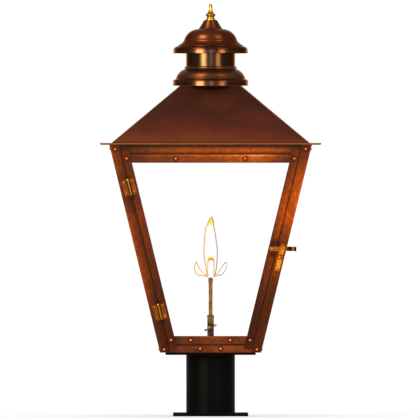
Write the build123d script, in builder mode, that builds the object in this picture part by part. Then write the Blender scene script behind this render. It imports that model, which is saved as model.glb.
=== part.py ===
from build123d import *
from math import asin, atan, atan2, cos, degrees, radians, sin, sqrt, tan
import os

os.makedirs("parts", exist_ok=True)

# All sizes in mm. The lantern stands on z = 0, its door faces -Y, and the post is on the Z axis.

# ---------------------------------------------------------------- post fitter
base_plate_side = 127.0
base_plate_thickness = 5.6
base_bolt_spacing = 101.6
base_bolt_hole_radius = 5.2
tube_outer_radius = 41.275
tube_wall = 3.05
tube_length = 98.0
top_plate_side = 152.4
top_plate_thickness = 4.0
plate_screw_spacing = 116.0
plate_screw_radius = 3.0
screw_head_radius = 5.8
plate_nut_radius = 4.95
nut_thickness = 4.5
screw_end = 2.0

# ---------------------------------------------------------------- tapered body
body_bottom_half = 85.3
body_top_half = 170.8
body_height = 351.3
sheet = 1.2
pan_sheet = 1.0
post_leg = 16.5
bottom_rail_height = 13.1
top_rail_height = 16.4
top_glass_lap = 8.2
pan_flange_height = 12.0
glass_thickness = 3.0
glass_clearance = 0.3
glass_edge_room = 1.6
seat_clearance = 0.1

# ---------------------------------------------------------------- rivets
rivet_head_radius = 2.4
rivet_head_height = 1.4
rivet_shank_radius = 1.2
rivet_hole_clearance = 0.05
rivet_reach = 6.0
post_rivet_height = 5.0
post_rivet_drop = 8.1
pan_rivet_spacing = 34.6
pan_rivet_height = 6.0

# ---------------------------------------------------------------- door
door_gap = 0.8
door_proud = 0.3
stile_width = 13.5
stile_lap = 7.0
stile_corner_radius = 2.0
door_rail_height = 14.0
door_rail_setback = 1.5
door_glass_lap = 4.0
door_top_tab_spacing = 116.8
door_bottom_tab_spacing = 66.6
door_rivet_inset = 6.4

# ---------------------------------------------------------------- glass tabs
tab_width = 9.0
tab_thickness = 1.0
tab_lip = 6.5
door_tab_lip = 3.0
tab_foot = 5.5
side_tab_spacing = 180.0

# ---------------------------------------------------------------- door stops
stop_sheet = 1.0
stop_lap = 4.5
stop_reach = 1.8
stop_foot = 6.0
stop_cover = 2.0

# ---------------------------------------------------------------- hinges
hinge_height = 27.0
hinge_leaf_width = 10.6
hinge_leaf_thickness = 0.9
hinge_knuckle_radius = 1.7
hinge_pin_radius = 0.9
hinge_pin_clearance = 0.05
hinge_pin_head_radius = 1.9
hinge_pin_head_height = 1.6
hinge_pin_head_taper = 20
hinge_knuckle_gap = 0.3
hinge_axis_height = 2.3
lower_hinge_inset = 69.0
upper_hinge_inset = 72.0
hinge_rivet_inset = 4.0
hinge_rivet_edge = 3.6
hinge_rivet_head_radius = 2.0

# ---------------------------------------------------------------- latch
latch_height = 174.0
latch_bar_width = 7.4
latch_bar_thickness = 1.5
latch_bar_back = 4.5
latch_bar_front = 36.0
latch_bar_corner_radius = 0.8
latch_curl_radius = 3.2
latch_curl_angle = 75
latch_running_gap = 0.3
latch_rivet_head_radius = 2.6
latch_rivet_head_height = 1.6
keeper_width = 7.8
keeper_thickness = 1.2
keeper_foot = 23.8
keeper_knob_drop = 11.6
keeper_tongue = 24.7
keeper_joggle = 4.0
keeper_flare = 1.4
keeper_flare_length = 4.0
keeper_tip_bevel = 0.4
keeper_from_seam = 9.2
keeper_rivet_drop = 19.8
keeper_knob_radius = 3.5
keeper_knob_height = 3.3

# ---------------------------------------------------------------- roof
brim_overhang = 15.4
brim_thickness = 2.2
brim_inside_lap = 10.0
roof_setback = 5.5
roof_height = 96.0
roof_top_half = 51.6
roof_sheet = 1.2
crown_thickness = 1.2
crown_hole_radius = 38.5

# ---------------------------------------------------------------- vent
spun_sheet = 1.0
drum_radius = 41.5
drum_height = 59.7
collar_gap = 0.3
rim_roll_drop = 2.0
rim_roll_radius = 3.0
collar_rim_radius = 63.7
collar_rim_height = 10.0
collar_shoulder_radius = 54.6
collar_shoulder_height = 18.1
collar_height = 32.5
collar_ring_height = 5.1
collar_ring_radius = 43.6
collar_roll_width = 3.5
collar_roll_rise = 1.0
collar_throat = 3.4
collar_under_throat = 2.4
collar_ring_step = 0.6
collar_ring_bulge = 0.7
cap_overlap = 4.6
cap_rim_radius = 63.2
cap_rim_height = 7.8
cap_roll_width = 3.0
cap_roll_rise = 0.6
cap_flare_radius = 54.0
cap_flare_height = 13.9
cap_waist_radius = 45.2
cap_waist_height = 20.9
cap_shoulder_radius = 20.5
cap_shoulder_height = 41.2
cap_dome_radius = 37.3
cap_dome_height = 34.3
cap_neck_radius = 11.0
cap_neck_height = 56.1
cap_neck_mid_radius = 13.9
cap_neck_mid_height = 50.9
bridge_width = 14.0
bridge_thickness = 2.0
bridge_drop = 8.0
rod_radius = 3.0
rod_clearance = 0.1
rod_nut_radius = 5.5
rod_nut_thickness = 4.0

# ---------------------------------------------------------------- finial
finial_base_radius = 7.5
finial_base_edge = 2.2
finial_neck_radius = 6.1
finial_neck_height = 4.1
finial_bulb_foot_radius = 6.6
finial_bulb_foot_height = 6.6
finial_bulb_radius = 8.4
finial_bulb_height = 9.2
finial_bulb_top_radius = 5.6
finial_bulb_top_height = 12.2
finial_sweep_radius = 3.3
finial_sweep_height = 13.6
finial_stem_radius = 2.6
finial_stem_height = 15.2
finial_tip_radius = 2.1
finial_height = 26.9
finial_thread_depth = 11.0

# ---------------------------------------------------------------- burner
inlet_thread_radius = 4.3
inlet_thread_depth = 9.0
inlet_body_radius = 7.5
inlet_flange_radius = 11.0
inlet_flange_thickness = 1.5
inlet_spigot_radius = 4.0
inlet_spigot_height = 8.0
inlet_clearance = 0.1
inlet_nut_radius = 11.25
gas_way_radius = 1.5
valve_body_radius = 5.6
valve_body_length = 55.5
valve_collar_radius = 6.0
valve_collar_height = 4.0
valve_collar_bevel = 0.8
valve_boss_radius = 5.2
valve_boss_length = 2.2
valve_stem_radius = 2.0
valve_stem_clearance = 0.05
valve_stem_depth = 6.0
valve_handle_height = 34.4
valve_ball_radius = 4.0
lever_radius = 1.3
lever_left = 9.6
lever_right = 7.4
lever_tilt = 27.0
lever_ball_radius = 2.0
lever_eye_radius = 2.5
lever_eye_hole_radius = 1.0
lever_eye_half = 1.0
riser_radius = 3.3
riser_wall = 0.8
riser_length = 67.4
riser_seat = 8.0
burner_tip_radius = 3.9
burner_tip_length = 9.0
burner_tip_seat = 5.0
burner_tip_rounding = 2.2
burner_slot_width = 0.9
burner_slot_depth = 2.0

# ---------------------------------------------------------------- worked-out levels and angles
tube_bore_radius = tube_outer_radius - tube_wall
top_plate_z = base_plate_thickness + tube_length
body_z = top_plate_z + top_plate_thickness
body_top_z = body_z + body_height
lean = atan((body_top_half - body_bottom_half) / body_height)
edge_slant = atan(sin(lean))
rail_depth = sheet
pan_depth = rail_depth + sheet
glass_depth = pan_depth + pan_sheet + glass_clearance
door_rail_depth = sheet - door_proud
door_glass_depth = door_rail_depth + sheet
pan_floor_top = body_z + pan_sheet
bottom_rail_z = body_z + bottom_rail_height
top_rail_z = body_top_z - top_rail_height
brim_half = body_top_half + brim_overhang
brim_top_z = body_top_z + brim_thickness
roof_foot_half = body_top_half - roof_setback
crown_z = brim_top_z + roof_height
crown_top_z = crown_z + crown_thickness
drum_top_z = crown_top_z + drum_height
cap_z = drum_top_z - cap_overlap
cap_top_z = cap_z + cap_neck_height
door_rail_inset = post_leg + door_gap + door_rail_setback
hinge_heights = (lower_hinge_inset, body_height - upper_hinge_inset)


# ---------------------------------------------------------------- shared constructions
def face_plane(turn, depth=0.0):
    """Outer face of one sloping side, depth mm further in; local y runs up the slope."""
    away = Vector(sin(radians(turn)), -cos(radians(turn)), 0)
    normal = away * cos(lean) - Vector(0, 0, sin(lean))
    foot = away * body_bottom_half + Vector(0, 0, body_z)
    across = Vector(cos(radians(turn)), sin(radians(turn)), 0)
    return Plane(origin=foot - normal * depth, x_dir=across, z_dir=normal)


def up_slope(z, depth=0.0):
    """Local y of the height z on a face plane."""
    return (z - body_z - depth * sin(lean)) / cos(lean)


def side_half(v):
    """Half width of a sloping side at the local height v."""
    return body_bottom_half + v * sin(lean)


def trapezoid(low, high, inset):
    """A strip across a sloping side between two local heights, inset from its slanted edges."""
    Polygon(
        (side_half(low) - inset, low),
        (side_half(high) - inset, high),
        (inset - side_half(high), high),
        (inset - side_half(low), low),
        align=None,
    )


def seam_plane(side, height, depth=0.0):
    """Plane on the front face at the seam of post and door, y up the seam; side is -1 or 1."""
    v = up_slope(body_z + height)
    front = face_plane(0)
    centre = front.from_local_coords(Vector(side * (side_half(v) - post_leg), v, -depth))
    slant = side * edge_slant
    across = front.x_dir * cos(slant) - front.y_dir * sin(slant)
    return Plane(origin=centre, x_dir=across, z_dir=front.z_dir)


def rivets(plane, spots, grip, head_radius=rivet_head_radius, head_height=rivet_head_height):
    """Round-headed rivets whose heads sit on the plane and whose shanks go grip mm through."""
    crown_radius = (head_radius**2 + head_height**2) / (2 * head_height)
    with Locations(plane):
        with Locations(*spots):
            Cylinder(rivet_shank_radius, grip, align=(Align.CENTER, Align.CENTER, Align.MAX))
            Sphere(
                crown_radius,
                arc_size1=degrees(asin(1 - head_height / crown_radius)),
                align=(Align.CENTER, Align.CENTER, Align.MIN),
            )


def rivet_holes(plane, spots):
    """Cut the rivets' clearance holes through the active part."""
    with BuildSketch(plane.offset(rivet_reach)) as holes:
        with Locations(*spots):
            Circle(rivet_shank_radius + rivet_hole_clearance)
    extrude(holes.sketch, amount=-2 * rivet_reach, mode=Mode.SUBTRACT)


def write(piece, label):
    """Label a finished piece and write it to its own file."""
    piece.part.label = label
    export_step(piece.part, f"parts/{label}.step")


def corner_spots(z, inset, depth=0.0):
    """A left and a right spot on a side, inset from its slanted edges at the height z."""
    v = up_slope(z, depth)
    return [(inset - side_half(v), v), (side_half(v) - inset, v)]


def pair_spots(spacing, z, depth=0.0):
    """A left and a right spot on a side, spacing apart at the height z."""
    v = up_slope(z, depth)
    return [(-spacing / 2, v), (spacing / 2, v)]


def hinge_rivet_spots(hand):
    """The two rivets of one hinge leaf on its seam plane; hand -1 is the frame's leaf, 1 the door's."""
    across = hand * (hinge_leaf_width - hinge_rivet_edge)
    row = hinge_height / 2 - hinge_rivet_inset
    return [(across, -row), (across, row)]


sides = {"front": 0, "right": 90, "back": 180, "left": 270}
latch_seam = seam_plane(1, latch_height)
latch_rivet_spot = ((-door_gap - stile_width / 2) * cos(edge_slant), 0)
knob_plane = seam_plane(1, latch_height - keeper_knob_drop * cos(edge_slant) * cos(lean))
knob_spot = (keeper_from_seam * cos(edge_slant), 0)
keeper_rivet_spot = (keeper_from_seam * cos(edge_slant), -keeper_rivet_drop)
post_low_spots = corner_spots(body_z + post_rivet_height, post_leg / 2)
post_high_spots = corner_spots(body_top_z - post_rivet_drop, post_leg / 2)
pan_spots = pair_spots(pan_rivet_spacing, body_z + pan_rivet_height)

# ================================================================ post fitter
with BuildPart() as base_plate:
    with BuildSketch():
        Rectangle(base_plate_side, base_plate_side)
        Circle(tube_bore_radius, mode=Mode.SUBTRACT)
        with GridLocations(base_bolt_spacing, base_bolt_spacing, 2, 2):
            Circle(base_bolt_hole_radius, mode=Mode.SUBTRACT)
    extrude(amount=base_plate_thickness)
write(base_plate, "base_plate")

with BuildPart() as mount_tube:
    with BuildSketch(Plane.XY.offset(base_plate_thickness)):
        Circle(tube_outer_radius)
        Circle(tube_bore_radius, mode=Mode.SUBTRACT)
    extrude(amount=tube_length)
write(mount_tube, "mount_tube")

screw_hole_radius = plate_screw_radius + inlet_clearance
screw_head_height = screw_head_radius - plate_screw_radius
with BuildPart() as mount_top_plate:
    with BuildSketch(Plane.XY.offset(top_plate_z)):
        Rectangle(top_plate_side, top_plate_side)
        Circle(inlet_body_radius + inlet_clearance, mode=Mode.SUBTRACT)
        with GridLocations(plate_screw_spacing, plate_screw_spacing, 2, 2):
            Circle(screw_hole_radius, mode=Mode.SUBTRACT)
    extrude(amount=top_plate_thickness)
    with BuildSketch(Plane.XY.offset(top_plate_z)):
        Circle(inlet_flange_radius + inlet_clearance)
    extrude(amount=inlet_flange_thickness, mode=Mode.SUBTRACT)
    with Locations(Location((0, 0, top_plate_z), (180, 0, 0))):
        with GridLocations(plate_screw_spacing, plate_screw_spacing, 2, 2):
            CounterSinkHole(screw_hole_radius, screw_head_radius + inlet_clearance, top_plate_thickness, 90)
write(mount_top_plate, "mount_top_plate")

with BuildPart() as plate_screws:
    with BuildSketch(Plane.XY.offset(top_plate_z)):
        with GridLocations(plate_screw_spacing, plate_screw_spacing, 2, 2):
            Circle(screw_head_radius)
    extrude(amount=screw_head_height, taper=45)
    with BuildSketch(Plane.XY.offset(top_plate_z + screw_head_height / 2)):
        with GridLocations(plate_screw_spacing, plate_screw_spacing, 2, 2):
            Circle(plate_screw_radius)
    extrude(amount=pan_floor_top + nut_thickness + screw_end - top_plate_z - screw_head_height / 2)
write(plate_screws, "plate_screws")

with BuildPart() as plate_nuts:
    with BuildSketch(Plane.XY.offset(pan_floor_top)):
        with GridLocations(plate_screw_spacing, plate_screw_spacing, 2, 2):
            RegularPolygon(plate_nut_radius, 6, major_radius=False)
            Circle(plate_screw_radius + rivet_hole_clearance, mode=Mode.SUBTRACT)
    extrude(amount=nut_thickness)
write(plate_nuts, "plate_nuts")

# ================================================================ floor pan
pan_half = body_bottom_half - pan_depth / cos(lean) - seat_clearance
flange_wall = pan_sheet / cos(lean)
with BuildPart() as floor_pan:
    with BuildSketch(Plane.XY.offset(body_z)):
        Rectangle(2 * pan_half, 2 * pan_half)
    extrude(amount=pan_flange_height, taper=-degrees(lean))
    inner_half = pan_half + pan_sheet * tan(lean) - flange_wall
    with BuildSketch(Plane.XY.offset(pan_floor_top)):
        Rectangle(2 * inner_half, 2 * inner_half)
    extrude(amount=pan_flange_height, taper=-degrees(lean), mode=Mode.SUBTRACT)
    with BuildSketch(Plane.XY.offset(body_z)):
        Circle(inlet_body_radius + inlet_clearance)
        with GridLocations(plate_screw_spacing, plate_screw_spacing, 2, 2):
            Circle(screw_hole_radius)
    extrude(amount=pan_sheet, mode=Mode.SUBTRACT)
    for turn in sides.values():
        rivet_holes(face_plane(turn, pan_depth), pan_spots + post_low_spots)
write(floor_pan, "floor_pan")

# ================================================================ corner posts
corners = {"front_right": 0, "back_right": 90, "back_left": 180, "front_left": 270}
leg_wall = sheet / cos(lean)


def corner_angle(turn):
    """Section of one corner post at its foot: an angle round the corner."""
    foot = body_bottom_half
    with BuildSketch(Plane.XY.offset(body_z).rotated((0, 0, turn))) as section:
        Polygon(
            (foot, -foot),
            (foot, post_leg - foot),
            (foot - leg_wall, post_leg - foot),
            (foot - leg_wall, leg_wall - foot),
            (foot - post_leg, leg_wall - foot),
            (foot - post_leg, -foot),
            align=None,
        )
    return section.sketch


for corner, turn in corners.items():
    with BuildPart() as corner_post:
        spread = body_top_half - body_bottom_half
        run = Vector(spread, -spread, body_height).rotate(Axis.Z, turn)
        extrude(corner_angle(turn), amount=run.length, dir=run.normalized())
        for side_turn in (turn, turn + 90):
            rivet_holes(face_plane(side_turn), post_low_spots + post_high_spots)
        if corner == "front_right":
            rivet_holes(knob_plane, [knob_spot, keeper_rivet_spot])
        if corner == "front_left":
            for height in hinge_heights:
                rivet_holes(seam_plane(-1, height), hinge_rivet_spots(-1))
    write(corner_post, f"corner_post_{corner}")

# ================================================================ frame rails
rail_inset = (rail_depth + sheet) / cos(lean) + seat_clearance
for side, turn in sides.items():
    rail_plane = face_plane(turn, rail_depth)
    with BuildPart() as bottom_rail:
        with BuildSketch(rail_plane):
            trapezoid(0, up_slope(bottom_rail_z, rail_depth), rail_inset)
        extrude(amount=-sheet)
        rivet_holes(rail_plane, post_low_spots + pan_spots)
    write(bottom_rail, f"bottom_rail_{side}")

    with BuildPart() as top_rail:
        with BuildSketch(rail_plane):
            trapezoid(up_slope(top_rail_z, rail_depth), up_slope(body_top_z, rail_depth + sheet), rail_inset)
        extrude(amount=-sheet)
        rivet_holes(rail_plane, post_high_spots)
    write(top_rail, f"top_rail_{side}")

with BuildPart() as frame_rivets:
    for turn in sides.values():
        rivets(face_plane(turn), post_low_spots, sheet + sheet + pan_sheet)
        rivets(face_plane(turn), post_high_spots, sheet + sheet)
        rivets(face_plane(turn, rail_depth), pan_spots, sheet + pan_sheet)
write(frame_rivets, "frame_rivets")

# ================================================================ fixed panes and their tabs
pane_bottom = up_slope(pan_floor_top + glass_clearance, glass_depth)
pane_top = up_slope(top_rail_z + top_glass_lap, glass_depth)
pane_inset = (glass_depth + glass_thickness) / cos(lean) + glass_edge_room
for side in ("right", "back", "left"):
    with BuildPart() as pane:
        with BuildSketch(face_plane(sides[side], glass_depth)):
            trapezoid(pane_bottom, pane_top, pane_inset)
        extrude(amount=-glass_thickness)
    write(pane, f"pane_{side}")


def glass_tab(turn, x, edge, grow, depth, spaced, foot, lip):
    """A bent tab over a pane's edge: foot on the rail at depth, lip over the glass.

    edge is the local height of the pane's edge, grow is 1 where the foot stands above it and
    -1 where it hangs below, and spaced says that the foot also runs on between rail and glass.
    """
    glass_back = depth + (tab_thickness + glass_clearance if spaced else 0)
    front = glass_back + glass_thickness
    shelf = edge + grow * glass_clearance
    plane = face_plane(turn)
    section = Plane(
        origin=plane.from_local_coords(Vector(x - tab_width / 2, 0, 0)),
        x_dir=plane.y_dir,
        z_dir=plane.x_dir,
    )
    lip_end = edge - grow * lip
    outline = [
        (lip_end if spaced else shelf, -depth),
        (shelf + grow * foot, -depth),
        (shelf + grow * foot, -depth - tab_thickness),
        (shelf + grow * tab_thickness, -depth - tab_thickness),
        (shelf + grow * tab_thickness, -front - tab_thickness),
        (lip_end, -front - tab_thickness),
        (lip_end, -front),
        (shelf, -front),
    ]
    if spaced:
        outline += [(shelf, -depth - tab_thickness), (lip_end, -depth - tab_thickness)]
    with BuildSketch(section) as profile:
        Polygon(*outline, align=None)
    extrude(profile.sketch, amount=tab_width)


with BuildPart() as pane_tabs:
    for side in ("right", "back", "left"):
        for x in (-side_tab_spacing / 2, side_tab_spacing / 2):
            glass_tab(sides[side], x, pane_top, 1, pan_depth, True, tab_foot, tab_lip)
write(pane_tabs, "pane_tabs")

# ================================================================ door
door_turn = sides["front"]
stile_plane = face_plane(door_turn, -door_proud)
door_rail_plane = face_plane(door_turn, door_rail_depth)
stile_low = up_slope(bottom_rail_z - stile_lap, -door_proud)
stile_high = up_slope(top_rail_z + stile_lap, -door_proud)
door_low_z = bottom_rail_z + door_gap
door_high_z = top_rail_z - door_gap
door_low_mid = door_low_z + door_rail_height / 2
door_high_mid = door_high_z - door_rail_height / 2
door_rivet_from_edge = post_leg + door_gap + door_rivet_inset
door_stile_rivets = {
    "low": corner_spots(door_low_mid, door_rivet_from_edge, -door_proud),
    "high": corner_spots(door_high_mid, door_rivet_from_edge, -door_proud),
}
door_tab_rivets = {
    "low": pair_spots(door_bottom_tab_spacing, door_low_mid, door_rail_depth),
    "high": pair_spots(door_top_tab_spacing, door_high_mid, door_rail_depth),
}

for side, hand in (("left", -1), ("right", 1)):
    with BuildPart() as door_stile:
        with BuildSketch(stile_plane):
            outer_low = side_half(stile_low) - post_leg - door_gap
            outer_high = side_half(stile_high) - post_leg - door_gap
            Polygon(
                (hand * outer_low, stile_low),
                (hand * outer_high, stile_high),
                (hand * (outer_high - stile_width), stile_high),
                (hand * (outer_low - stile_width), stile_low),
                align=None,
            )
            fillet(vertices(), stile_corner_radius)
        extrude(amount=-sheet)
        rivet_holes(stile_plane, door_stile_rivets["low"] + door_stile_rivets["high"])
        if side == "left":
            for height in hinge_heights:
                rivet_holes(seam_plane(-1, height), hinge_rivet_spots(1))
        else:
            rivet_holes(latch_seam, [latch_rivet_spot])
    write(door_stile, f"door_stile_{side}")

door_rails = {
    "bottom": (door_low_z, door_low_z + door_rail_height, "low"),
    "top": (door_high_z - door_rail_height, door_high_z, "high"),
}
for name, (low_z, high_z, level) in door_rails.items():
    with BuildPart() as door_rail:
        with BuildSketch(door_rail_plane):
            low_v, high_v = up_slope(low_z, door_rail_depth), up_slope(high_z, door_rail_depth)
            trapezoid(low_v, high_v, door_rail_inset)
        extrude(amount=-sheet)
        rivet_holes(stile_plane, door_stile_rivets[level])
        rivet_holes(door_rail_plane, door_tab_rivets[level])
    write(door_rail, f"door_rail_{name}")

door_pane_low = up_slope(door_low_z + door_rail_height - door_glass_lap, door_glass_depth)
door_pane_high = up_slope(door_high_z - door_rail_height + door_glass_lap, door_glass_depth)
with BuildPart() as door_pane:
    with BuildSketch(face_plane(door_turn, door_glass_depth)):
        trapezoid(door_pane_low, door_pane_high, door_rail_inset + glass_edge_room)
    extrude(amount=-glass_thickness)
write(door_pane, "door_pane")

door_foot = door_rail_height - door_glass_lap - 2 * glass_clearance
with BuildPart() as door_tabs:
    for level, edge, grow in (("low", door_pane_low, -1), ("high", door_pane_high, 1)):
        for spot in door_tab_rivets[level]:
            glass_tab(door_turn, spot[0], edge, grow, door_glass_depth, False, door_foot, door_tab_lip)
        rivet_holes(door_rail_plane, door_tab_rivets[level])
write(door_tabs, "door_tabs")

with BuildPart() as door_rivets:
    for level in ("low", "high"):
        rivets(stile_plane, door_stile_rivets[level], sheet + sheet)
        rivets(door_rail_plane, door_tab_rivets[level], sheet + tab_thickness)
write(door_rivets, "door_rivets")

# ================================================================ door stops
side_stop_low = up_slope(bottom_rail_z + seat_clearance, rail_depth)
side_stop_high = up_slope(top_rail_z - seat_clearance, rail_depth)
long_stop_inset = post_leg + door_gap + stile_width / 2
bottom_stop_low = up_slope(bottom_rail_z, rail_depth) - stop_foot
bottom_stop_high = up_slope(door_low_z, door_rail_depth) + stop_cover
bottom_stop_depth = pan_depth + pan_sheet + seat_clearance
top_stop_foot = up_slope(top_rail_z, rail_depth)
top_stop_low = up_slope(door_high_z, door_rail_depth) - stop_cover
top_stop_depth = door_glass_depth + tab_thickness + glass_clearance
with BuildPart() as door_stops:
    with BuildSketch(face_plane(door_turn, rail_depth)):
        for hand in (-1, 1):
            Polygon(
                (hand * (side_half(side_stop_low) - post_leg + stop_lap), side_stop_low),
                (hand * (side_half(side_stop_high) - post_leg + stop_lap), side_stop_high),
                (hand * (side_half(side_stop_high) - post_leg - stop_reach), side_stop_high),
                (hand * (side_half(side_stop_low) - post_leg - stop_reach), side_stop_low),
                align=None,
            )
    extrude(amount=-stop_sheet)
    with BuildSketch(face_plane(door_turn, bottom_stop_depth)):
        trapezoid(bottom_stop_low, bottom_stop_high, long_stop_inset)
    extrude(amount=-stop_sheet)
    with BuildSketch(face_plane(door_turn, pan_depth)):
        trapezoid(top_stop_foot, top_stop_foot + stop_foot, long_stop_inset)
    extrude(amount=pan_depth - top_stop_depth - stop_sheet)
    with BuildSketch(face_plane(door_turn, top_stop_depth)):
        trapezoid(top_stop_low, top_stop_foot + stop_foot, long_stop_inset)
    extrude(amount=-stop_sheet)
write(door_stops, "door_stops")

# ================================================================ hinges
knuckle_length = (hinge_height - 2 * hinge_knuckle_gap) / 3
knuckle_clear = hinge_knuckle_radius + hinge_knuckle_gap
middle_half = knuckle_length / 2 + hinge_knuckle_gap
leaf_seats = {"frame": (-1, 0.0), "door": (1, door_proud)}


def pin_plane(height):
    """Plane square to a hinge's pin at the middle of the hinge."""
    seam = seam_plane(-1, height)
    return Plane(
        origin=seam.from_local_coords(Vector(0, 0, hinge_axis_height)),
        x_dir=seam.x_dir,
        z_dir=seam.y_dir,
    )


def hinge_leaf(height, owner):
    """One leaf of a butt hinge: the frame's has the outer knuckles, the door's the middle one."""
    hand, seat = leaf_seats[owner]
    plane = seam_plane(-1, height)
    with BuildSketch(plane.offset(seat)) as plate:
        with Locations((hand * hinge_leaf_width / 2, 0)):
            Rectangle(hinge_leaf_width, hinge_height)
        if owner == "frame":
            Rectangle(2 * knuckle_clear, 2 * middle_half, mode=Mode.SUBTRACT)
        else:
            for end in (-1, 1):
                with Locations((0, end * (hinge_height - knuckle_length) / 2)):
                    Rectangle(2 * knuckle_clear, knuckle_length + 2 * hinge_knuckle_gap, mode=Mode.SUBTRACT)
    extrude(plate.sketch, amount=hinge_leaf_thickness)
    axis_plane = pin_plane(height)
    ends = (-1, 1) if owner == "frame" else (0,)
    for end in ends:
        middle = end * (hinge_height - knuckle_length) / 2
        with BuildSketch(axis_plane.offset(middle - knuckle_length / 2)) as knuckle:
            Circle(hinge_knuckle_radius)
            with Locations((hand * hinge_knuckle_radius / 2, (hinge_axis_height - seat) / 2)):
                Rectangle(hinge_knuckle_radius, hinge_axis_height - seat)
        extrude(knuckle.sketch, amount=knuckle_length)
    with BuildSketch(axis_plane.offset(-hinge_height)) as pin_hole:
        Circle(hinge_pin_radius + hinge_pin_clearance)
    extrude(pin_hole.sketch, amount=2 * hinge_height, mode=Mode.SUBTRACT)
    rivet_holes(plane, hinge_rivet_spots(hand))


for place, height in zip(("lower", "upper"), hinge_heights):
    for owner in ("frame", "door"):
        with BuildPart() as leaf:
            hinge_leaf(height, owner)
        write(leaf, f"hinge_{owner}_leaf_{place}")

with BuildPart() as hinge_pins:
    for height in hinge_heights:
        with BuildSketch(pin_plane(height).offset(-hinge_height / 2)):
            Circle(hinge_pin_radius)
        extrude(amount=hinge_height)
        with BuildSketch(pin_plane(height).offset(hinge_height / 2)):
            Circle(hinge_pin_head_radius)
        extrude(amount=hinge_pin_head_height, taper=hinge_pin_head_taper)
write(hinge_pins, "hinge_pins")

for owner, (hand, seat) in leaf_seats.items():
    with BuildPart() as hinge_rivets:
        for height in hinge_heights:
            head_plane = seam_plane(-1, height).offset(seat + hinge_leaf_thickness)
            spots = hinge_rivet_spots(hand)
            rivets(head_plane, spots, hinge_leaf_thickness + sheet, hinge_rivet_head_radius)
    write(hinge_rivets, f"hinge_rivets_{owner}")

# ================================================================ latch
latch_pivot = latch_seam.from_local_coords(Vector(*latch_rivet_spot, door_proud + latch_running_gap))
bar_plane = Plane(origin=latch_pivot, x_dir=(1, 0, 0), z_dir=latch_seam.z_dir)
with BuildPart() as latch_bar:
    with BuildSketch(Plane(origin=latch_pivot, x_dir=(1, 0, 0), z_dir=-bar_plane.y_dir)):
        with BuildLine():
            top = latch_bar_thickness
            bend = (latch_bar_front, top + latch_curl_radius)
            inner = latch_curl_radius
            outer = latch_curl_radius + latch_bar_thickness
            turned = radians(latch_curl_angle)
            Line((-latch_bar_back, 0), (latch_bar_front, 0))
            CenterArc(bend, outer, -90, latch_curl_angle)
            Line(
                (bend[0] + outer * sin(turned), bend[1] - outer * cos(turned)),
                (bend[0] + inner * sin(turned), bend[1] - inner * cos(turned)),
            )
            CenterArc(bend, inner, -90, latch_curl_angle)
            Line((latch_bar_front, top), (-latch_bar_back, top))
            Line((-latch_bar_back, top), (-latch_bar_back, 0))
        make_face()
    extrude(amount=latch_bar_width / 2, both=True)
    fillet(edges().filter_by(Axis(latch_pivot, bar_plane.z_dir)).sort_by(Axis.X)[:2], latch_bar_corner_radius)
    with BuildSketch(bar_plane):
        Circle(rivet_shank_radius + rivet_hole_clearance)
    extrude(amount=latch_bar_thickness, mode=Mode.SUBTRACT)
write(latch_bar, "latch_bar")

with BuildPart() as latch_rivet:
    rivets(
        bar_plane.offset(latch_bar_thickness + latch_running_gap),
        [(0, 0)],
        latch_bar_thickness + 2 * latch_running_gap + sheet,
        latch_rivet_head_radius,
        latch_rivet_head_height,
    )
write(latch_rivet, "latch_rivet")

keeper_rise = door_proud + 2 * latch_running_gap + latch_bar_thickness
keeper_section = Plane(
    origin=knob_plane.from_local_coords(Vector(knob_spot[0] - keeper_width / 2, 0, 0)),
    x_dir=knob_plane.y_dir,
    z_dir=knob_plane.x_dir,
)
joggle_end = keeper_joggle + keeper_rise
flare_start = keeper_tongue - keeper_flare_length
with BuildPart() as latch_keeper:
    with BuildSketch(keeper_section):
        with BuildLine():
            lift = keeper_rise + keeper_thickness
            Polyline(
                (-keeper_foot, 0),
                (keeper_joggle, 0),
                (joggle_end, keeper_rise),
                (flare_start, keeper_rise),
                (keeper_tongue, keeper_rise + keeper_flare),
                (keeper_tongue - keeper_tip_bevel, lift + keeper_flare),
                (flare_start - keeper_tip_bevel, lift),
                (joggle_end - keeper_thickness / 2, lift),
                (keeper_joggle - keeper_thickness / 2, keeper_thickness),
                (-keeper_foot, keeper_thickness),
                close=True,
            )
        make_face()
    extrude(amount=keeper_width)
    rivet_holes(knob_plane, [knob_spot, keeper_rivet_spot])
write(latch_keeper, "latch_keeper")

keeper_face = knob_plane.offset(keeper_thickness)
keeper_grip = keeper_thickness + sheet
with BuildPart() as keeper_rivets:
    rivets(keeper_face, [keeper_rivet_spot], keeper_grip)
    rivets(keeper_face, [knob_spot], keeper_grip, keeper_knob_radius, keeper_knob_height)
write(keeper_rivets, "keeper_rivets")

# ================================================================ roof
roof_slope = atan2(roof_height, roof_foot_half - roof_top_half)
roof_wall = roof_sheet / sin(roof_slope)
for side, turn in sides.items():
    with BuildPart() as roof_panel:
        for z, half in ((brim_top_z, roof_foot_half), (crown_z, roof_top_half)):
            with BuildSketch(Plane.XY.offset(z)):
                Rectangle(2 * half, 2 * half)
        loft(ruled=True)
        with BuildSketch(Plane.XY.offset(body_top_z)):
            Rectangle(2 * brim_half, 2 * brim_half)
        extrude(amount=brim_thickness)
        for z, half in ((brim_top_z, roof_foot_half), (crown_z, roof_top_half)):
            with BuildSketch(Plane.XY.offset(z)):
                Rectangle(2 * (half - roof_wall), 2 * (half - roof_wall))
        loft(ruled=True, mode=Mode.SUBTRACT)
        with BuildSketch(Plane.XY.offset(body_top_z)):
            Rectangle(2 * (body_top_half - brim_inside_lap), 2 * (body_top_half - brim_inside_lap))
        extrude(amount=brim_thickness, mode=Mode.SUBTRACT)
        for cut in (-45, 45):
            hip = radians(turn + cut)
            normal = Vector(cos(hip), sin(hip), 0) * (1 if cut > 0 else -1)
            split(bisect_by=Plane(origin=(0, 0, 0), z_dir=(-normal.X, -normal.Y, 0)), keep=Keep.TOP)
    write(roof_panel, f"roof_panel_{side}")

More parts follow.
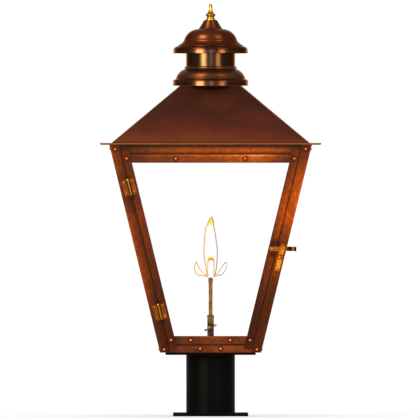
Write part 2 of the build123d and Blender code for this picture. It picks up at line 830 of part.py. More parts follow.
with BuildPart() as roof_crown:
    with BuildSketch(Plane.XY.offset(crown_z)):
        Rectangle(2 * roof_top_half, 2 * roof_top_half)
        Circle(crown_hole_radius, mode=Mode.SUBTRACT)
    extrude(amount=crown_thickness)
write(roof_crown, "roof_crown")

# ================================================================ vent drum and spun collar
with BuildPart() as vent_drum:
    with BuildSketch(Plane.XY.offset(crown_top_z)):
        Circle(drum_radius)
        Circle(drum_radius - spun_sheet, mode=Mode.SUBTRACT)
    extrude(amount=drum_height)
write(vent_drum, "vent_drum")

collar_z = crown_top_z + collar_gap
collar_top = collar_z + collar_height
collar_inside = drum_radius + seat_clearance
with BuildPart() as vent_collar:
    with BuildSketch(Plane.XZ):
        with BuildLine():
            rim_top = collar_z + collar_rim_height
            ring_low = collar_top - collar_ring_height
            rim = Line((collar_rim_radius, collar_z), (collar_rim_radius, rim_top - rim_roll_drop))
            lip_end = (collar_rim_radius - collar_roll_width, rim_top + collar_roll_rise)
            lip = RadiusArc(rim @ 1, lip_end, -rim_roll_radius)
            shoulder_z = collar_z + collar_shoulder_height
            flare = ThreePointArc(
                lip @ 1, (collar_shoulder_radius, shoulder_z), (collar_ring_radius + collar_throat, ring_low)
            )
            foot = Line(flare @ 1, (collar_ring_radius, ring_low + collar_ring_step))
            ring = ThreePointArc(
                foot @ 1,
                (collar_ring_radius + collar_ring_bulge, ring_low + collar_ring_height / 2),
                (collar_ring_radius, collar_top),
            )
            Polyline(
                ring @ 1,
                (collar_inside, collar_top),
                (collar_inside, ring_low - spun_sheet),
                (collar_ring_radius + collar_under_throat, ring_low - spun_sheet),
            )
            under = ThreePointArc(
                (collar_ring_radius + collar_under_throat, ring_low - spun_sheet),
                (collar_shoulder_radius - spun_sheet, shoulder_z - spun_sheet),
                (collar_rim_radius - collar_roll_width - spun_sheet, rim_top),
            )
            Polyline(
                under @ 1,
                (collar_rim_radius - spun_sheet, rim_top - rim_roll_drop),
                (collar_rim_radius - spun_sheet, collar_z),
                (collar_rim_radius, collar_z),
            )
        make_face()
    revolve(axis=Axis.Z)
write(vent_collar, "vent_collar")

# ================================================================ dome cap
with BuildPart() as dome_cap:
    with BuildSketch(Plane.XZ):
        with BuildLine():
            skin = spun_sheet
            rim_top = cap_z + cap_rim_height
            waist_z = cap_z + cap_waist_height
            shoulder_z = cap_z + cap_shoulder_height
            roll_end = (cap_rim_radius - cap_roll_width, rim_top + cap_roll_rise)
            dome_mid = (cap_dome_radius, cap_z + cap_dome_height)
            neck_mid = (cap_neck_mid_radius, cap_z + cap_neck_mid_height)
            outside_rim = Line((cap_rim_radius, cap_z), (cap_rim_radius, rim_top - rim_roll_drop))
            outside_lip = RadiusArc(outside_rim @ 1, roll_end, -rim_roll_radius)
            outside_flare = ThreePointArc(
                outside_lip @ 1,
                (cap_flare_radius, cap_z + cap_flare_height),
                (cap_waist_radius, waist_z),
            )
            outside_dome = ThreePointArc(outside_flare @ 1, dome_mid, (cap_shoulder_radius, shoulder_z))
            outside_neck = ThreePointArc(outside_dome @ 1, neck_mid, (cap_neck_radius, cap_top_z))
            Polyline(
                outside_neck @ 1,
                (rod_radius + rod_clearance, cap_top_z),
                (rod_radius + rod_clearance, cap_top_z - skin),
                (cap_neck_radius - skin, cap_top_z - skin),
            )
            inside_neck = ThreePointArc(
                (cap_neck_radius - skin, cap_top_z - skin),
                (neck_mid[0] - skin, neck_mid[1] - skin),
                (cap_shoulder_radius - skin, shoulder_z - skin),
            )
            inside_dome = ThreePointArc(
                inside_neck @ 1, (dome_mid[0] - skin, dome_mid[1] - skin), (cap_waist_radius - skin, waist_z)
            )
            inside_flare = ThreePointArc(
                inside_dome @ 1,
                (cap_flare_radius - skin, cap_z + cap_flare_height - skin),
                (roll_end[0] - skin, roll_end[1] - skin),
            )
            Polyline(
                inside_flare @ 1,
                (cap_rim_radius - skin, rim_top - rim_roll_drop),
                (cap_rim_radius - skin, cap_z),
                (cap_rim_radius, cap_z),
            )
        make_face()
    revolve(axis=Axis.Z)
write(dome_cap, "dome_cap")

# ================================================================ cap bridge, rod and nuts
bridge_z = drum_top_z - bridge_drop
bridge_reach = sqrt((drum_radius - spun_sheet) ** 2 - (bridge_width / 2) ** 2) - seat_clearance
with BuildPart() as cap_bridge:
    with BuildSketch(Plane.XY.offset(bridge_z)):
        Rectangle(2 * bridge_reach, bridge_width)
        Circle(rod_radius + rod_clearance, mode=Mode.SUBTRACT)
    extrude(amount=bridge_thickness)
write(cap_bridge, "cap_bridge")

rod_low = bridge_z - rod_nut_thickness - screw_end
rod_high = cap_top_z + finial_thread_depth - screw_end
with BuildPart() as cap_rod:
    with BuildSketch(Plane.XY.offset(rod_low)):
        Circle(rod_radius)
    extrude(amount=rod_high - rod_low)
write(cap_rod, "cap_rod")

nut_levels = (
    bridge_z - rod_nut_thickness,
    bridge_z + bridge_thickness,
    cap_top_z - spun_sheet - rod_nut_thickness,
)
with BuildPart() as rod_nuts:
    for z in nut_levels:
        with BuildSketch(Plane.XY.offset(z)):
            RegularPolygon(rod_nut_radius, 6)
            Circle(rod_radius + rivet_hole_clearance, mode=Mode.SUBTRACT)
        extrude(amount=rod_nut_thickness)
write(rod_nuts, "rod_nuts")

with BuildPart() as finial:
    with BuildSketch(Plane.XZ):
        with BuildLine():
            finial_top = cap_top_z + finial_height
            edge_z = cap_top_z + finial_base_edge
            Polyline((0, cap_top_z), (finial_base_radius, cap_top_z), (finial_base_radius, edge_z))
            cove = ThreePointArc(
                (finial_base_radius, edge_z),
                (finial_neck_radius, cap_top_z + finial_neck_height),
                (finial_bulb_foot_radius, cap_top_z + finial_bulb_foot_height),
            )
            bulb = ThreePointArc(
                cove @ 1,
                (finial_bulb_radius, cap_top_z + finial_bulb_height),
                (finial_bulb_top_radius, cap_top_z + finial_bulb_top_height),
            )
            sweep_in = ThreePointArc(
                bulb @ 1,
                (finial_sweep_radius, cap_top_z + finial_sweep_height),
                (finial_stem_radius, cap_top_z + finial_stem_height),
            )
            Line(sweep_in @ 1, (finial_tip_radius, finial_top - finial_tip_radius))
            CenterArc((0, finial_top - finial_tip_radius), finial_tip_radius, 0, 90)
            Line((0, finial_top), (0, cap_top_z))
        make_face()
    revolve(axis=Axis.Z)
    with BuildSketch(Plane.XY.offset(cap_top_z)):
        Circle(rod_radius + rivet_hole_clearance)
    extrude(amount=finial_thread_depth, mode=Mode.SUBTRACT)
write(finial, "finial")

# ================================================================ gas inlet, valve and burner
inlet_top = pan_floor_top + nut_thickness + screw_end
valve_z = inlet_top
with BuildPart() as gas_inlet:
    with BuildSketch(Plane.XY.offset(top_plate_z)):
        Circle(inlet_flange_radius)
    extrude(amount=inlet_flange_thickness)
    with BuildSketch(Plane.XY.offset(top_plate_z)):
        Circle(inlet_body_radius)
    extrude(amount=inlet_top - top_plate_z)
    with BuildSketch(Plane.XY.offset(inlet_top)):
        Circle(inlet_spigot_radius)
    extrude(amount=inlet_spigot_height)
    with BuildSketch(Plane.XY.offset(top_plate_z)):
        Circle(gas_way_radius)
    extrude(amount=inlet_top + inlet_spigot_height - top_plate_z, mode=Mode.SUBTRACT)
    with BuildSketch(Plane.XY.offset(top_plate_z)):
        Circle(inlet_thread_radius)
    extrude(amount=inlet_thread_depth, mode=Mode.SUBTRACT)
write(gas_inlet, "gas_inlet")

with BuildPart() as inlet_nut:
    with BuildSketch(Plane.XY.offset(pan_floor_top)):
        RegularPolygon(inlet_nut_radius, 6)
        Circle(inlet_body_radius + rivet_hole_clearance, mode=Mode.SUBTRACT)
    extrude(amount=nut_thickness)
write(inlet_nut, "inlet_nut")

valve_top = valve_z + valve_body_length
handle_z = valve_z + valve_handle_height
boss_face = valve_body_radius + valve_boss_length
stem_plane = Plane(origin=(0, 0, handle_z), x_dir=(1, 0, 0), z_dir=(0, -1, 0))
with BuildPart() as valve_body:
    with BuildSketch(Plane.XY.offset(valve_z)):
        Circle(valve_body_radius)
    extrude(amount=valve_body_length)
    for z in (valve_z, valve_top - valve_collar_height):
        with BuildSketch(Plane.XY.offset(z)):
            Circle(valve_collar_radius)
        extrude(amount=valve_collar_height)
    chamfer(edges().filter_by(GeomType.CIRCLE).group_by(Axis.Z)[-1], valve_collar_bevel)
    with BuildSketch(stem_plane):
        Circle(valve_boss_radius)
    extrude(amount=boss_face)
    with BuildSketch(Plane.XY.offset(valve_z)):
        Circle(gas_way_radius)
    extrude(amount=valve_body_length, mode=Mode.SUBTRACT)
    with BuildSketch(Plane.XY.offset(valve_z)):
        Circle(inlet_spigot_radius + rivet_hole_clearance)
    extrude(amount=inlet_spigot_height + glass_clearance, mode=Mode.SUBTRACT)
    with BuildSketch(Plane.XY.offset(valve_top)):
        Circle(riser_radius + rivet_hole_clearance)
    extrude(amount=-riser_seat, mode=Mode.SUBTRACT)
    with BuildSketch(stem_plane.offset(boss_face)):
        Circle(valve_stem_radius + valve_stem_clearance)
    extrude(amount=-valve_stem_depth - latch_running_gap, mode=Mode.SUBTRACT)
write(valve_body, "valve_body")

ball_y = boss_face + latch_running_gap + valve_ball_radius
lever_centre = Vector(0, -ball_y, handle_z)
lever_dir = Vector(cos(radians(lever_tilt)), 0, sin(radians(lever_tilt)))
lever_plane = Plane(origin=lever_centre, x_dir=(0, -1, 0), z_dir=lever_dir)
eye_plane = Plane(origin=lever_centre + lever_dir * (lever_right + lever_eye_radius / 2), z_dir=(0, -1, 0))
with BuildPart() as valve_handle:
    with Locations(lever_centre):
        Sphere(valve_ball_radius)
    with BuildSketch(stem_plane.offset(boss_face - valve_stem_depth)):
        Circle(valve_stem_radius)
    extrude(amount=valve_stem_depth + latch_running_gap + valve_ball_radius)
    with BuildSketch(lever_plane.offset(-lever_left)):
        Circle(lever_radius)
    extrude(amount=lever_left + lever_right)
    with Locations(lever_centre - lever_dir * lever_left):
        Sphere(lever_ball_radius)
    with BuildSketch(eye_plane):
        Circle(lever_eye_radius)
    extrude(amount=lever_eye_half, both=True)
    with BuildSketch(eye_plane):
        Circle(lever_eye_hole_radius)
    extrude(amount=2 * lever_radius, both=True, mode=Mode.SUBTRACT)
write(valve_handle, "valve_handle")

riser_z = valve_top - riser_seat
riser_top = riser_z + riser_length
with BuildPart() as riser_tube:
    with BuildSketch(Plane.XY.offset(riser_z)):
        Circle(riser_radius)
        Circle(riser_radius - riser_wall, mode=Mode.SUBTRACT)
    extrude(amount=riser_length)
write(riser_tube, "riser_tube")

tip_z = riser_top - burner_tip_seat
with BuildPart() as burner_tip:
    with BuildSketch(Plane.XY.offset(tip_z)):
        Circle(burner_tip_radius)
    extrude(amount=burner_tip_length)
    fillet(edges().filter_by(GeomType.CIRCLE).group_by(Axis.Z)[-1], burner_tip_rounding)
    with BuildSketch(Plane.XY.offset(tip_z)):
        Circle(riser_radius + rivet_hole_clearance)
    extrude(amount=burner_tip_seat, mode=Mode.SUBTRACT)
    with BuildSketch(Plane.XY.offset(tip_z)):
        Circle(gas_way_radius)
    extrude(amount=burner_tip_length - burner_slot_depth, mode=Mode.SUBTRACT)
    with BuildSketch(Plane.XY.offset(tip_z + burner_tip_length)):
        Rectangle(2 * burner_tip_radius, burner_slot_width)
    extrude(amount=-burner_slot_depth, mode=Mode.SUBTRACT)
write(burner_tip, "burner_tip")

# ---------------------------------------------------------------- places that the joints need
hinge_line = seam_plane(-1, hinge_heights[0], -hinge_axis_height)
print("door hinge point", hinge_line.origin, "axis down the seam", -hinge_line.y_dir)
print("latch pivot", latch_pivot, "axis", bar_plane.z_dir)
print("valve stem", lever_centre)
print("levels", body_z, body_top_z, crown_top_z, drum_top_z, cap_z, cap_top_z, "lean", degrees(lean))
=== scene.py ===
"""Looks of a post top gas lantern: finishes, turned vent parts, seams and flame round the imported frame."""

from math import acos, cos, dist, pi, radians, sin, sqrt

import bmesh
import bpy
from bpy.props import FloatProperty, FloatVectorProperty, PointerProperty
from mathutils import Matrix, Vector


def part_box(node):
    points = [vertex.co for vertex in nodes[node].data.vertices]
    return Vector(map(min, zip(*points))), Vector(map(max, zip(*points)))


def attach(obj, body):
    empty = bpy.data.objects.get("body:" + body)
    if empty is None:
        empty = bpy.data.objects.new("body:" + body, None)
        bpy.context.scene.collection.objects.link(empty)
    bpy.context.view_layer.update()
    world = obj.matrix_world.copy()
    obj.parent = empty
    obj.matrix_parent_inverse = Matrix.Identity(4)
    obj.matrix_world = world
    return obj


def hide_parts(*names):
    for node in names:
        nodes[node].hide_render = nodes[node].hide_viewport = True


bl_info = {
    "name": "Post Top Gas Lantern",
    "version": (1, 0, 0),
    "blender": (4, 5, 0),
    "location": "3D View > Sidebar > Lantern",
    "description": "Dresses the packed lantern with its finishes, turned vent parts and flame",
    "category": "Object",
}

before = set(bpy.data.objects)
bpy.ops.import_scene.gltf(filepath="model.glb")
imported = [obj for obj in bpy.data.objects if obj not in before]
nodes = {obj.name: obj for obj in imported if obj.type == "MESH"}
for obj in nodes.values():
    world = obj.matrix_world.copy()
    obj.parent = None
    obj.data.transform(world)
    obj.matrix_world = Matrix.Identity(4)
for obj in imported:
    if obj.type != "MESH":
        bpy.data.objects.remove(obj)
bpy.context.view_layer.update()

MM = 0.001
TINY = 1e-6
SIDES = ("front", "right", "back", "left")
PLACES = ("lower", "upper")

# Stretch of a noise along the three axes.
EVEN = (1.0, 1.0, 1.0)
GRAIN_UP = (1.0, 1.0, 0.1)
GRAIN_LEVEL = (0.1, 0.1, 1.0)
RINGS = (0.0, 0.0, 1.0)

WHITE = "ffffff"
COPPER_GLOSS = {"Metallic": 0.25, "Specular_IOR_Level": 0.08, "Specular_Tint": "7a4a30"}
BRASS_GLOSS = {"Specular_IOR_Level": 0.1, "Specular_Tint": "a07840"}


def shade(code):
    """A colour written as six hex digits, as linear red, green, blue and alpha."""
    parts = [int(code[i:i + 2], 16) / 255 for i in (0, 2, 4)]
    return tuple(p / 12.92 if p <= 0.04045 else ((p + 0.055) / 1.055) ** 2.4 for p in parts) + (1.0,)


def colour_property(name, description, code):
    """A colour that a user can change, with its default as hex digits."""
    return FloatVectorProperty(
        name=name, description=description, default=shade(code), subtype="COLOR", size=4, min=0.0, max=1.0
    )


def length_property(name, description, default_mm):
    """A length that a user can change, with its default in millimetres."""
    return FloatProperty(
        name=name, description=description, default=default_mm * MM, unit="LENGTH", precision=4
    )


# ---------------------------------------------------------------- places read from the frame
post_low, post_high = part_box("corner_post_front_right")
brim_low, roof_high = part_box("roof_panel_front")
cap_low, cap_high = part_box("dome_cap")
crown_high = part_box("roof_crown")[1]
collar_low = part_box("vent_collar")[0]
finial_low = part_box("finial")[0]
tip_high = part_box("burner_tip")[1]
body_z = post_low.z
body_top_z = post_high.z
half_top = post_high.x
lean_run = 85.5 / 351.3  # how far a side leans out over its height
half_bottom = half_top - (body_top_z - body_z) * lean_run
seam_in = 16.9 * MM  # from the slanted edge of a side to the seam of post and door


def edge_spot(z, inward):
    """A spot on a side: its distance from the middle, inward from the slanted edge, and its height."""
    return (half_bottom + (z - body_z) * lean_run - inward, z)


# ---------------------------------------------------------------- settings
class LanternSizes(bpy.types.PropertyGroup):
    seam_radius: length_property("Hip seam", "Half width of the soldered seam on each hip of the roof", 1.1)
    groove_depth: length_property("Spinning groove", "Depth of the grooves in the cap and the collar", 0.5)
    flame_thickness: length_property("Flame thickness", "Thickness of the flame across the slot", 6.0)
    flame_edge: length_property("Flame edge", "Width of the orange rim of the flame", 2.7)


class LanternColours(bpy.types.PropertyGroup):
    patina: colour_property("Dark patina", "Copper where the patina is deepest", "2a1b15")
    brown: colour_property("Brown copper", "Copper under an even brown patina", "5c2e1c")
    warm: colour_property("Warm copper", "Copper where the patina is thin", "8e4219")
    # Bright copper is partly a painted highlight, and the glint is a painted highlight along edges.
    bright: colour_property("Bright copper", "Copper where it is rubbed bright", "cc591c")
    glint: colour_property("Copper glint", "Copper on a polished edge", "f08c44")
    roof: colour_property("Roof copper", "Main colour of the roof's sheets", "421f17")
    spun: colour_property("Spun copper", "Main colour of the drum, the collar and the cap", "3c2014")
    rivet: colour_property("Rivet copper", "Colour of the rivets' heads", "a04a24")
    brass: colour_property("Hinge brass", "Main colour of the hinges", "74401a")
    brass_dark: colour_property("Tarnished brass", "Brass in its hollows", "2e180a")
    gold: colour_property("Polished brass", "Colour of the finial", "7c5414")
    paint: colour_property("Black paint", "Powder coat of the post fitter", "101011")
    flame_white: colour_property("Flame core", "Colour of the flame's body", "ffffff")
    flame_yellow: colour_property("Flame glow", "Colour of the flame near its tip", "eef060")
    flame_orange: colour_property("Flame rim", "Colour of the flame's rim", "ea8434")


class LanternStage(bpy.types.PropertyGroup):
    distance: FloatProperty(
        name="Camera distance",
        description="From the lantern's axis to the camera",
        default=33.55,
        unit="LENGTH",
    )
    height: length_property("Camera height", "From the floor to the camera", 348.3)
    lens: FloatProperty(name="Lens", description="Focal length of the camera in millimetres", default=1700.0)
    lamp_strength: FloatProperty(name="Lamps", description="Strength of the softboxes", default=1.0, min=0.0)
    sky_level: FloatProperty(
        name="Sky", description="Level of the plain light from all sides", default=0.8, min=0.0
    )
    sky_seen: FloatProperty(
        name="Seen sky", description="Level of the sky where it is seen", default=1.03, min=0.0
    )
    floor_seen: FloatProperty(
        name="Seen floor", description="Level of the lit floor where it is seen", default=1.05, min=0.0
    )


# ---------------------------------------------------------------- shader maths
class Field:
    """A shader socket that takes part in Python sums by adding Math nodes."""

    def __init__(self, graph, socket):
        self.graph = graph
        self.socket = socket

    def math(self, operation, other=0.0):
        sockets = {"Value": self, "Value_001": other}
        return self.graph.node("ShaderNodeMath", {"operation": operation}, sockets)

    def __add__(self, other):
        return self.math("ADD", other)

    __radd__ = __add__

    def __mul__(self, other):
        return self.math("MULTIPLY", other)

    __rmul__ = __mul__

    def __sub__(self, other):
        return self.math("SUBTRACT", other)

    def __rsub__(self, other):
        return self * -1.0 + other

    def __truediv__(self, other):
        return self.math("DIVIDE", other)

    def __pow__(self, other):
        return self.math("POWER", other)

    def __abs__(self):
        return self.math("ABSOLUTE")

    def least(self, other):
        return self.math("MINIMUM", other)

    def most(self, other):
        return self.math("MAXIMUM", other)

    def ease(self, low, high):
        """0 at low and 1 at high, with a soft change between them."""
        return self.graph.node(
            "ShaderNodeMapRange",
            {"interpolation_type": "SMOOTHSTEP"},
            {"Value": self, "From Min": low, "From Max": high, "To Min": 0.0, "To Max": 1.0},
        )


class Graph:
    """The nodes of a material or of the sky."""

    def __init__(self, owner):
        owner.use_nodes = True
        self.tree = owner.node_tree
        self.tree.nodes.clear()

    def node(self, kind, settings=None, sockets=None, output=0):
        """Add a node, set it, fill or link its sockets by identifier, and hand over one output."""
        made = self.tree.nodes.new(kind)
        for key, value in (settings or {}).items():
            if key == "stops":
                steps = made.color_ramp.elements
                while len(steps) < len(value):
                    steps.new(0.5)
                for step, (place, colour) in zip(steps, value):
                    step.position = place
                    step.color = shade(colour) if isinstance(colour, str) else colour
            else:
                setattr(made, key, value)
        by_name = {socket.identifier: socket for socket in made.inputs}
        for key, value in (sockets or {}).items():
            if isinstance(value, Field):
                self.tree.links.new(value.socket, by_name[key])
            else:
                by_name[key].default_value = shade(value) if isinstance(value, str) else value
        if output is None:
            return None
        outputs = {socket.identifier: socket for socket in made.outputs}
        return Field(self, outputs[output] if isinstance(output, str) else made.outputs[output])

    def seen(self):
        """1 on rays from the camera, from gloss and through glass, and 0 on all others."""
        camera, gloss, glass = (
            self.node("ShaderNodeLightPath", {}, {}, f"Is {ray} Ray")
            for ray in ("Camera", "Glossy", "Transmission")
        )
        return camera.most(gloss).most(glass)


class Finish(Graph):
    """One material and the nodes in it."""

    def __init__(self, name):
        self.material = bpy.data.materials.new(name)
        super().__init__(self.material)
        self.place = self.node("ShaderNodeTexCoord", output="Object")
        self.x, self.y, self.z = (
            self.node("ShaderNodeSeparateXYZ", {}, {"Vector": self.place}, axis) for axis in "XYZ"
        )

    def along(self):
        """Place along a side from its left corner at 0 to its right corner at 1, seen from outside."""
        front_back = self.x * self.y.math("SIGN") * -1.0
        right_left = self.y * self.x.math("SIGN")
        facing = abs(self.y).math("GREATER_THAN", abs(self.x))
        place = right_left + (front_back - right_left) * facing
        return place / (2 * half_top) + 0.5

    def across(self):
        """Distance from the middle of a side, along it."""
        return abs(self.x).least(abs(self.y))

    def inset(self):
        """Distance from the slanted edge of a side."""
        return (self.z - body_z) * lean_run + half_bottom - self.across()

    def up(self, low, high):
        """Height from 0 at low to 1 at high."""
        return (self.z - low) / (high - low)

    def noise(self, stretch, scale, detail, roughness=0.55):
        """Cloudy noise from 0 to 1, stretched along the axes."""
        where = self.node(
            "ShaderNodeVectorMath", {"operation": "MULTIPLY"}, {"Vector": self.place, "Vector_001": stretch}
        )
        sockets = {"Vector": where, "Scale": scale, "Detail": detail, "Roughness": roughness}
        return self.node("ShaderNodeTexNoise", {}, sockets)

    def ramp(self, value, stops):
        """A colour that follows value through the stops."""
        return self.node("ShaderNodeValToRGB", {"stops": stops}, {"Fac": value}, "Color")

    def level(self, value, stops):
        """A number that follows value through the stops."""
        return self.ramp(value, [(place, (v, v, v, 1.0)) for place, v in stops])

    def blend(self, factor, first, second, kind="MIX"):
        """A colour between first and second, or their product."""
        sockets = {"Factor_Float": factor, "A_Color": first, "B_Color": second}
        return self.node("ShaderNodeMix", {"data_type": "RGBA", "blend_type": kind}, sockets, "Result_Color")

    def relief(self, height, strength, distance_mm):
        """A normal bent by a height map."""
        sockets = {"Height": height, "Strength": strength, "Distance": distance_mm * MM}
        return self.node("ShaderNodeBump", {}, sockets)

    def surface(self, **sockets):
        """Close the material with a Principled shader; names have _ for a space."""
        values = {key.replace("_", " "): value for key, value in sockets.items()}
        return self.close(self.node("ShaderNodeBsdfPrincipled", {}, values))

    def close(self, shader):
        self.node("ShaderNodeOutputMaterial", {}, {"Surface": shader}, None)
        return self.material


def copper_tones(finish, tone, colours):
    """Copper's colour from deep patina at tone 0 to a painted highlight at tone 1; the upper tones are partly
    painted highlights.
    """
    stops = [
        (0.0, colours.patina), (0.25, colours.brown), (0.5, colours.warm), (0.8, colours.bright),
        (1.0, colours.glint),
    ]
    return finish.ramp(tone, stops)


def darken(finish, tone, spots):
    """The tone with a patch of dark patina at each spot."""
    reach = 7.0 * MM
    core = 0.35 * reach
    darkest = 0.3
    across = finish.across()
    clear = 1.0
    for spot_across, spot_z in spots:
        aside = across - spot_across
        above = finish.z - spot_z
        clear = ((aside * aside + above * above) ** 0.5).ease(core, reach) * clear
    return tone * (clear * (1.0 - darkest) + darkest)


def hinge_patina():
    """Spots of dark patina over and under both hinges."""
    beside = 2.0 * MM
    spots = ()
    for place in PLACES:
        low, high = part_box(f"hinge_frame_leaf_{place}")
        spots += (edge_spot(low.z - beside, seam_in), edge_spot(high.z + beside, seam_in))
    return spots


def latch_patina():
    """Spots of dark patina over and under the latch."""
    low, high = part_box("latch_rivet")
    over, under = high.z + 7.0 * MM, low.z - 6.0 * MM
    places = ((over, 8.0 * MM), (over, 1.0 * MM), (under, 4.0 * MM))
    return tuple(edge_spot(z, seam_in + inward) for z, inward in places)


# ---------------------------------------------------------------- mesh helpers
def add_piece(name, mesh, body, material):
    """Link a finished mesh as a piece that rides on a body, with the given material."""
    piece = bpy.data.objects.new(name, mesh)
    bpy.context.scene.collection.objects.link(piece)
    mesh.materials.append(material)
    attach(piece, body)
    return piece


def mesh_from(name, points, faces, sharp_degrees=35.0):
    """A mesh from points and faces, smooth except where two faces meet at more than the angle."""
    work = bmesh.new()
    corners = [work.verts.new(point) for point in points]
    for face in faces:
        work.faces.new([corners[i] for i in face])
    bmesh.ops.recalc_face_normals(work, faces=work.faces)
    limit = radians(sharp_degrees)
    for edge in work.edges:
        edge.smooth = not (len(edge.link_faces) == 2 and edge.calc_face_angle() > limit)
    for face in work.faces:
        face.smooth = True
    mesh = bpy.data.meshes.new(name)
    work.to_mesh(mesh)
    work.free()
    return mesh


def bow(start, middle, end, steps=10):
    """Points on the circle through three points, from start to just before end."""
    (ax, ay), (bx, by), (cx, cy) = start, middle, end
    d = 2 * (ax * (by - cy) + bx * (cy - ay) + cx * (ay - by))
    sa, sb, sc = ax * ax + ay * ay, bx * bx + by * by, cx * cx + cy * cy
    ox = (sa * (by - cy) + sb * (cy - ay) + sc * (ay - by)) / d
    oy = (sa * (cx - bx) + sb * (ax - cx) + sc * (bx - ax)) / d
    first = Vector((ax - ox, ay - oy))
    last = Vector((cx - ox, cy - oy))
    through = Vector((bx - ox, by - oy))
    turn = acos(max(-1.0, min(1.0, first.dot(last) / (first.length * last.length))))
    side = 1 if first.cross(through) > 0 else -1
    points = []
    for i in range(steps):
        angle = side * turn * i / steps
        points.append((
            ox + first.x * cos(angle) - first.y * sin(angle),
            oy + first.x * sin(angle) + first.y * cos(angle),
        ))
    return points


def turned(name, profile, segments):
    """A closed turned mesh from a loop of (radius, height) in metres; radius 0 is the axis."""
    befores = profile[-1:] + profile[:-1]
    profile = [place for place, before in zip(profile, befores) if dist(place, before) > TINY]
    points = []
    rings = []
    for radius, height in profile:
        if radius < TINY:
            rings.append([len(points)] * segments)
            points.append((0.0, 0.0, height))
        else:
            rings.append(range(len(points), len(points) + segments))
            for i in range(segments):
                angle = 2 * pi * i / segments
                points.append((radius * cos(angle), radius * sin(angle), height))
    pairs = list(zip(rings, rings[1:]))
    if profile[0][0] > TINY:
        pairs.append((rings[-1], rings[0]))
    faces = []
    for low, high in pairs:
        for i in range(segments):
            j = (i + 1) % segments
            corners = [low[i], low[j], high[j], high[i]]
            loop = [c for k, c in enumerate(corners) if c != corners[k - 1]]
            if len(loop) > 2:
                faces.append(loop)
    return mesh_from(name, points, faces)


def add_turning(name, profile, foot, material, segments=144):
    """A turned piece of the lantern, from (radius, height over its foot) in millimetres."""
    loop = [(radius * MM, foot + height * MM) for radius, height in profile]
    return add_piece(name, turned(name, loop, segments), "lantern", material)


def give(names, material):
    """Put one material on CAD nodes."""
    for name in names:
        node = nodes[name]
        node.data.materials.clear()
        node.data.materials.append(material)


# ---------------------------------------------------------------- finishes
def sheet_copper(copper, colours, tone, grain, tint):
    """Aged sheet copper whose tone is mottled, streaked along its grain and clouded with patina."""
    cloud = copper.noise((1.0, 1.0, 0.7), 26.0, 3.0)
    streak = copper.noise(grain, 420.0, 2.0)
    mottle = copper.noise(EVEN, 150.0, 3.0)
    worn = tone * ((cloud - 0.5) * 1.2 + (streak - 0.5) * 1.0 + (mottle - 0.5) * 0.9 + 1.0)
    return copper.surface(
        Base_Color=copper.blend(1.0, copper_tones(copper, worn, colours), tint, "MULTIPLY"),
        Roughness=0.52 - worn * 0.12,
        Normal=copper.relief(streak + cloud * 0.5, 0.22, 0.1),
        **COPPER_GLOSS,
    )


def upright_copper(name, colours, course, profile, width, first, spots):
    """A post or stile: course is its tone over the height, profile its tone across, beginning at first."""
    copper = Finish(name)
    over = copper.level(copper.up(body_z, body_top_z), course)
    across = copper.level((copper.inset() - first) / width, profile)
    tone = darken(copper, over * across * 2.0, spots)
    return sheet_copper(copper, colours, tone, GRAIN_UP, "ffeeda")


def rail_copper(name, colours, course, low, high, profile, spots):
    """A rail: course is its tone along the side, profile its tone from its lower to its upper edge."""
    copper = Finish(name)
    tone = copper.level(copper.along(), course) * copper.level(copper.up(low, high), profile) * 2.0
    return sheet_copper(copper, colours, darken(copper, tone, spots), GRAIN_LEVEL, WHITE)


def roof_copper(name, steps):
    """Roof sheet that darkens from the brim to the crown, clouded with patina, with painted shade over its
    right half.
    """
    copper = Finish(name)
    cloud = copper.noise(EVEN, 15.0, 5.0, 0.6)
    patch = copper.noise((1.0, 1.0, 2.5), 60.0, 3.0)
    fine = copper.noise(EVEN, 800.0, 2.0)
    height = copper.up(brim_low.z, roof_high.z)
    above = height.ease(0.03, 0.14)
    wander = ((cloud - 0.5) * 0.5 + (patch - 0.5) * 0.16 + (fine - 0.5) * 0.3) * above
    # Painted shade: the right half of each sheet is darkened.
    painted_shade_right = ((copper.along() - 0.5).most(0.0) * 0.5 - 0.03) * above
    course = height.least(0.05) + (height - 0.05 + wander + painted_shade_right).most(0.0)
    warm = copper.noise((1.0, 1.0, 1.6), 15.0, 3.0, 0.5).ease(0.35, 0.8) * above
    speckle = copper.noise(EVEN, 520.0, 2.0).ease(0.3, 0.7)
    return copper.surface(
        Base_Color=copper.blend(warm * (speckle * 0.36 + 0.06), copper.ramp(course, steps), "843c18"),
        Roughness=0.5,
        Normal=copper.relief(fine + cloud, 0.2, 0.06),
        **COPPER_GLOSS,
    )


def plain_copper(name, main, dark, light, rough):
    """Brown copper sheet with soft clouds of patina."""
    copper = Finish(name)
    cloud = copper.noise(EVEN, 30.0, 5.0, 0.6)
    fine = copper.noise(EVEN, 900.0, 2.0)
    return copper.surface(
        Base_Color=copper.ramp(cloud * 0.75 + fine * 0.25, [(0.3, dark), (0.5, main), (0.7, light)]),
        Roughness=rough + (cloud - 0.5) * 0.12,
        Normal=copper.relief(fine, 0.2, 0.05),
        **COPPER_GLOSS,
    )


def spun_copper(name, steps, metal, rough):
    """Copper from the spinning lathe: fine rings, with tone, polish and gloss that follow the height."""
    copper = Finish(name)
    cloud = copper.noise((1.0, 1.0, 0.6), 30.0, 4.0, 0.6)
    rings = copper.noise(RINGS, 1500.0, 2.0)
    fine = copper.noise(EVEN, 900.0, 2.0)
    height = copper.up(collar_low.z, cap_high.z)
    tinted = copper.ramp(height + (cloud - 0.5) * 0.03, steps)
    return copper.surface(
        Base_Color=copper.blend((cloud - 0.5) * 1.6 + (fine - 0.5) * 0.4 + 0.35, tinted, "1c0f0a"),
        Metallic=copper.level(height, metal),
        Roughness=copper.level(height, rough) + (cloud - 0.5) * 0.1,
        Specular_IOR_Level=0.1,
        Specular_Tint="cfb49c",
        Normal=copper.relief(fine * 0.25 + rings, 0.14, 0.05),
    )


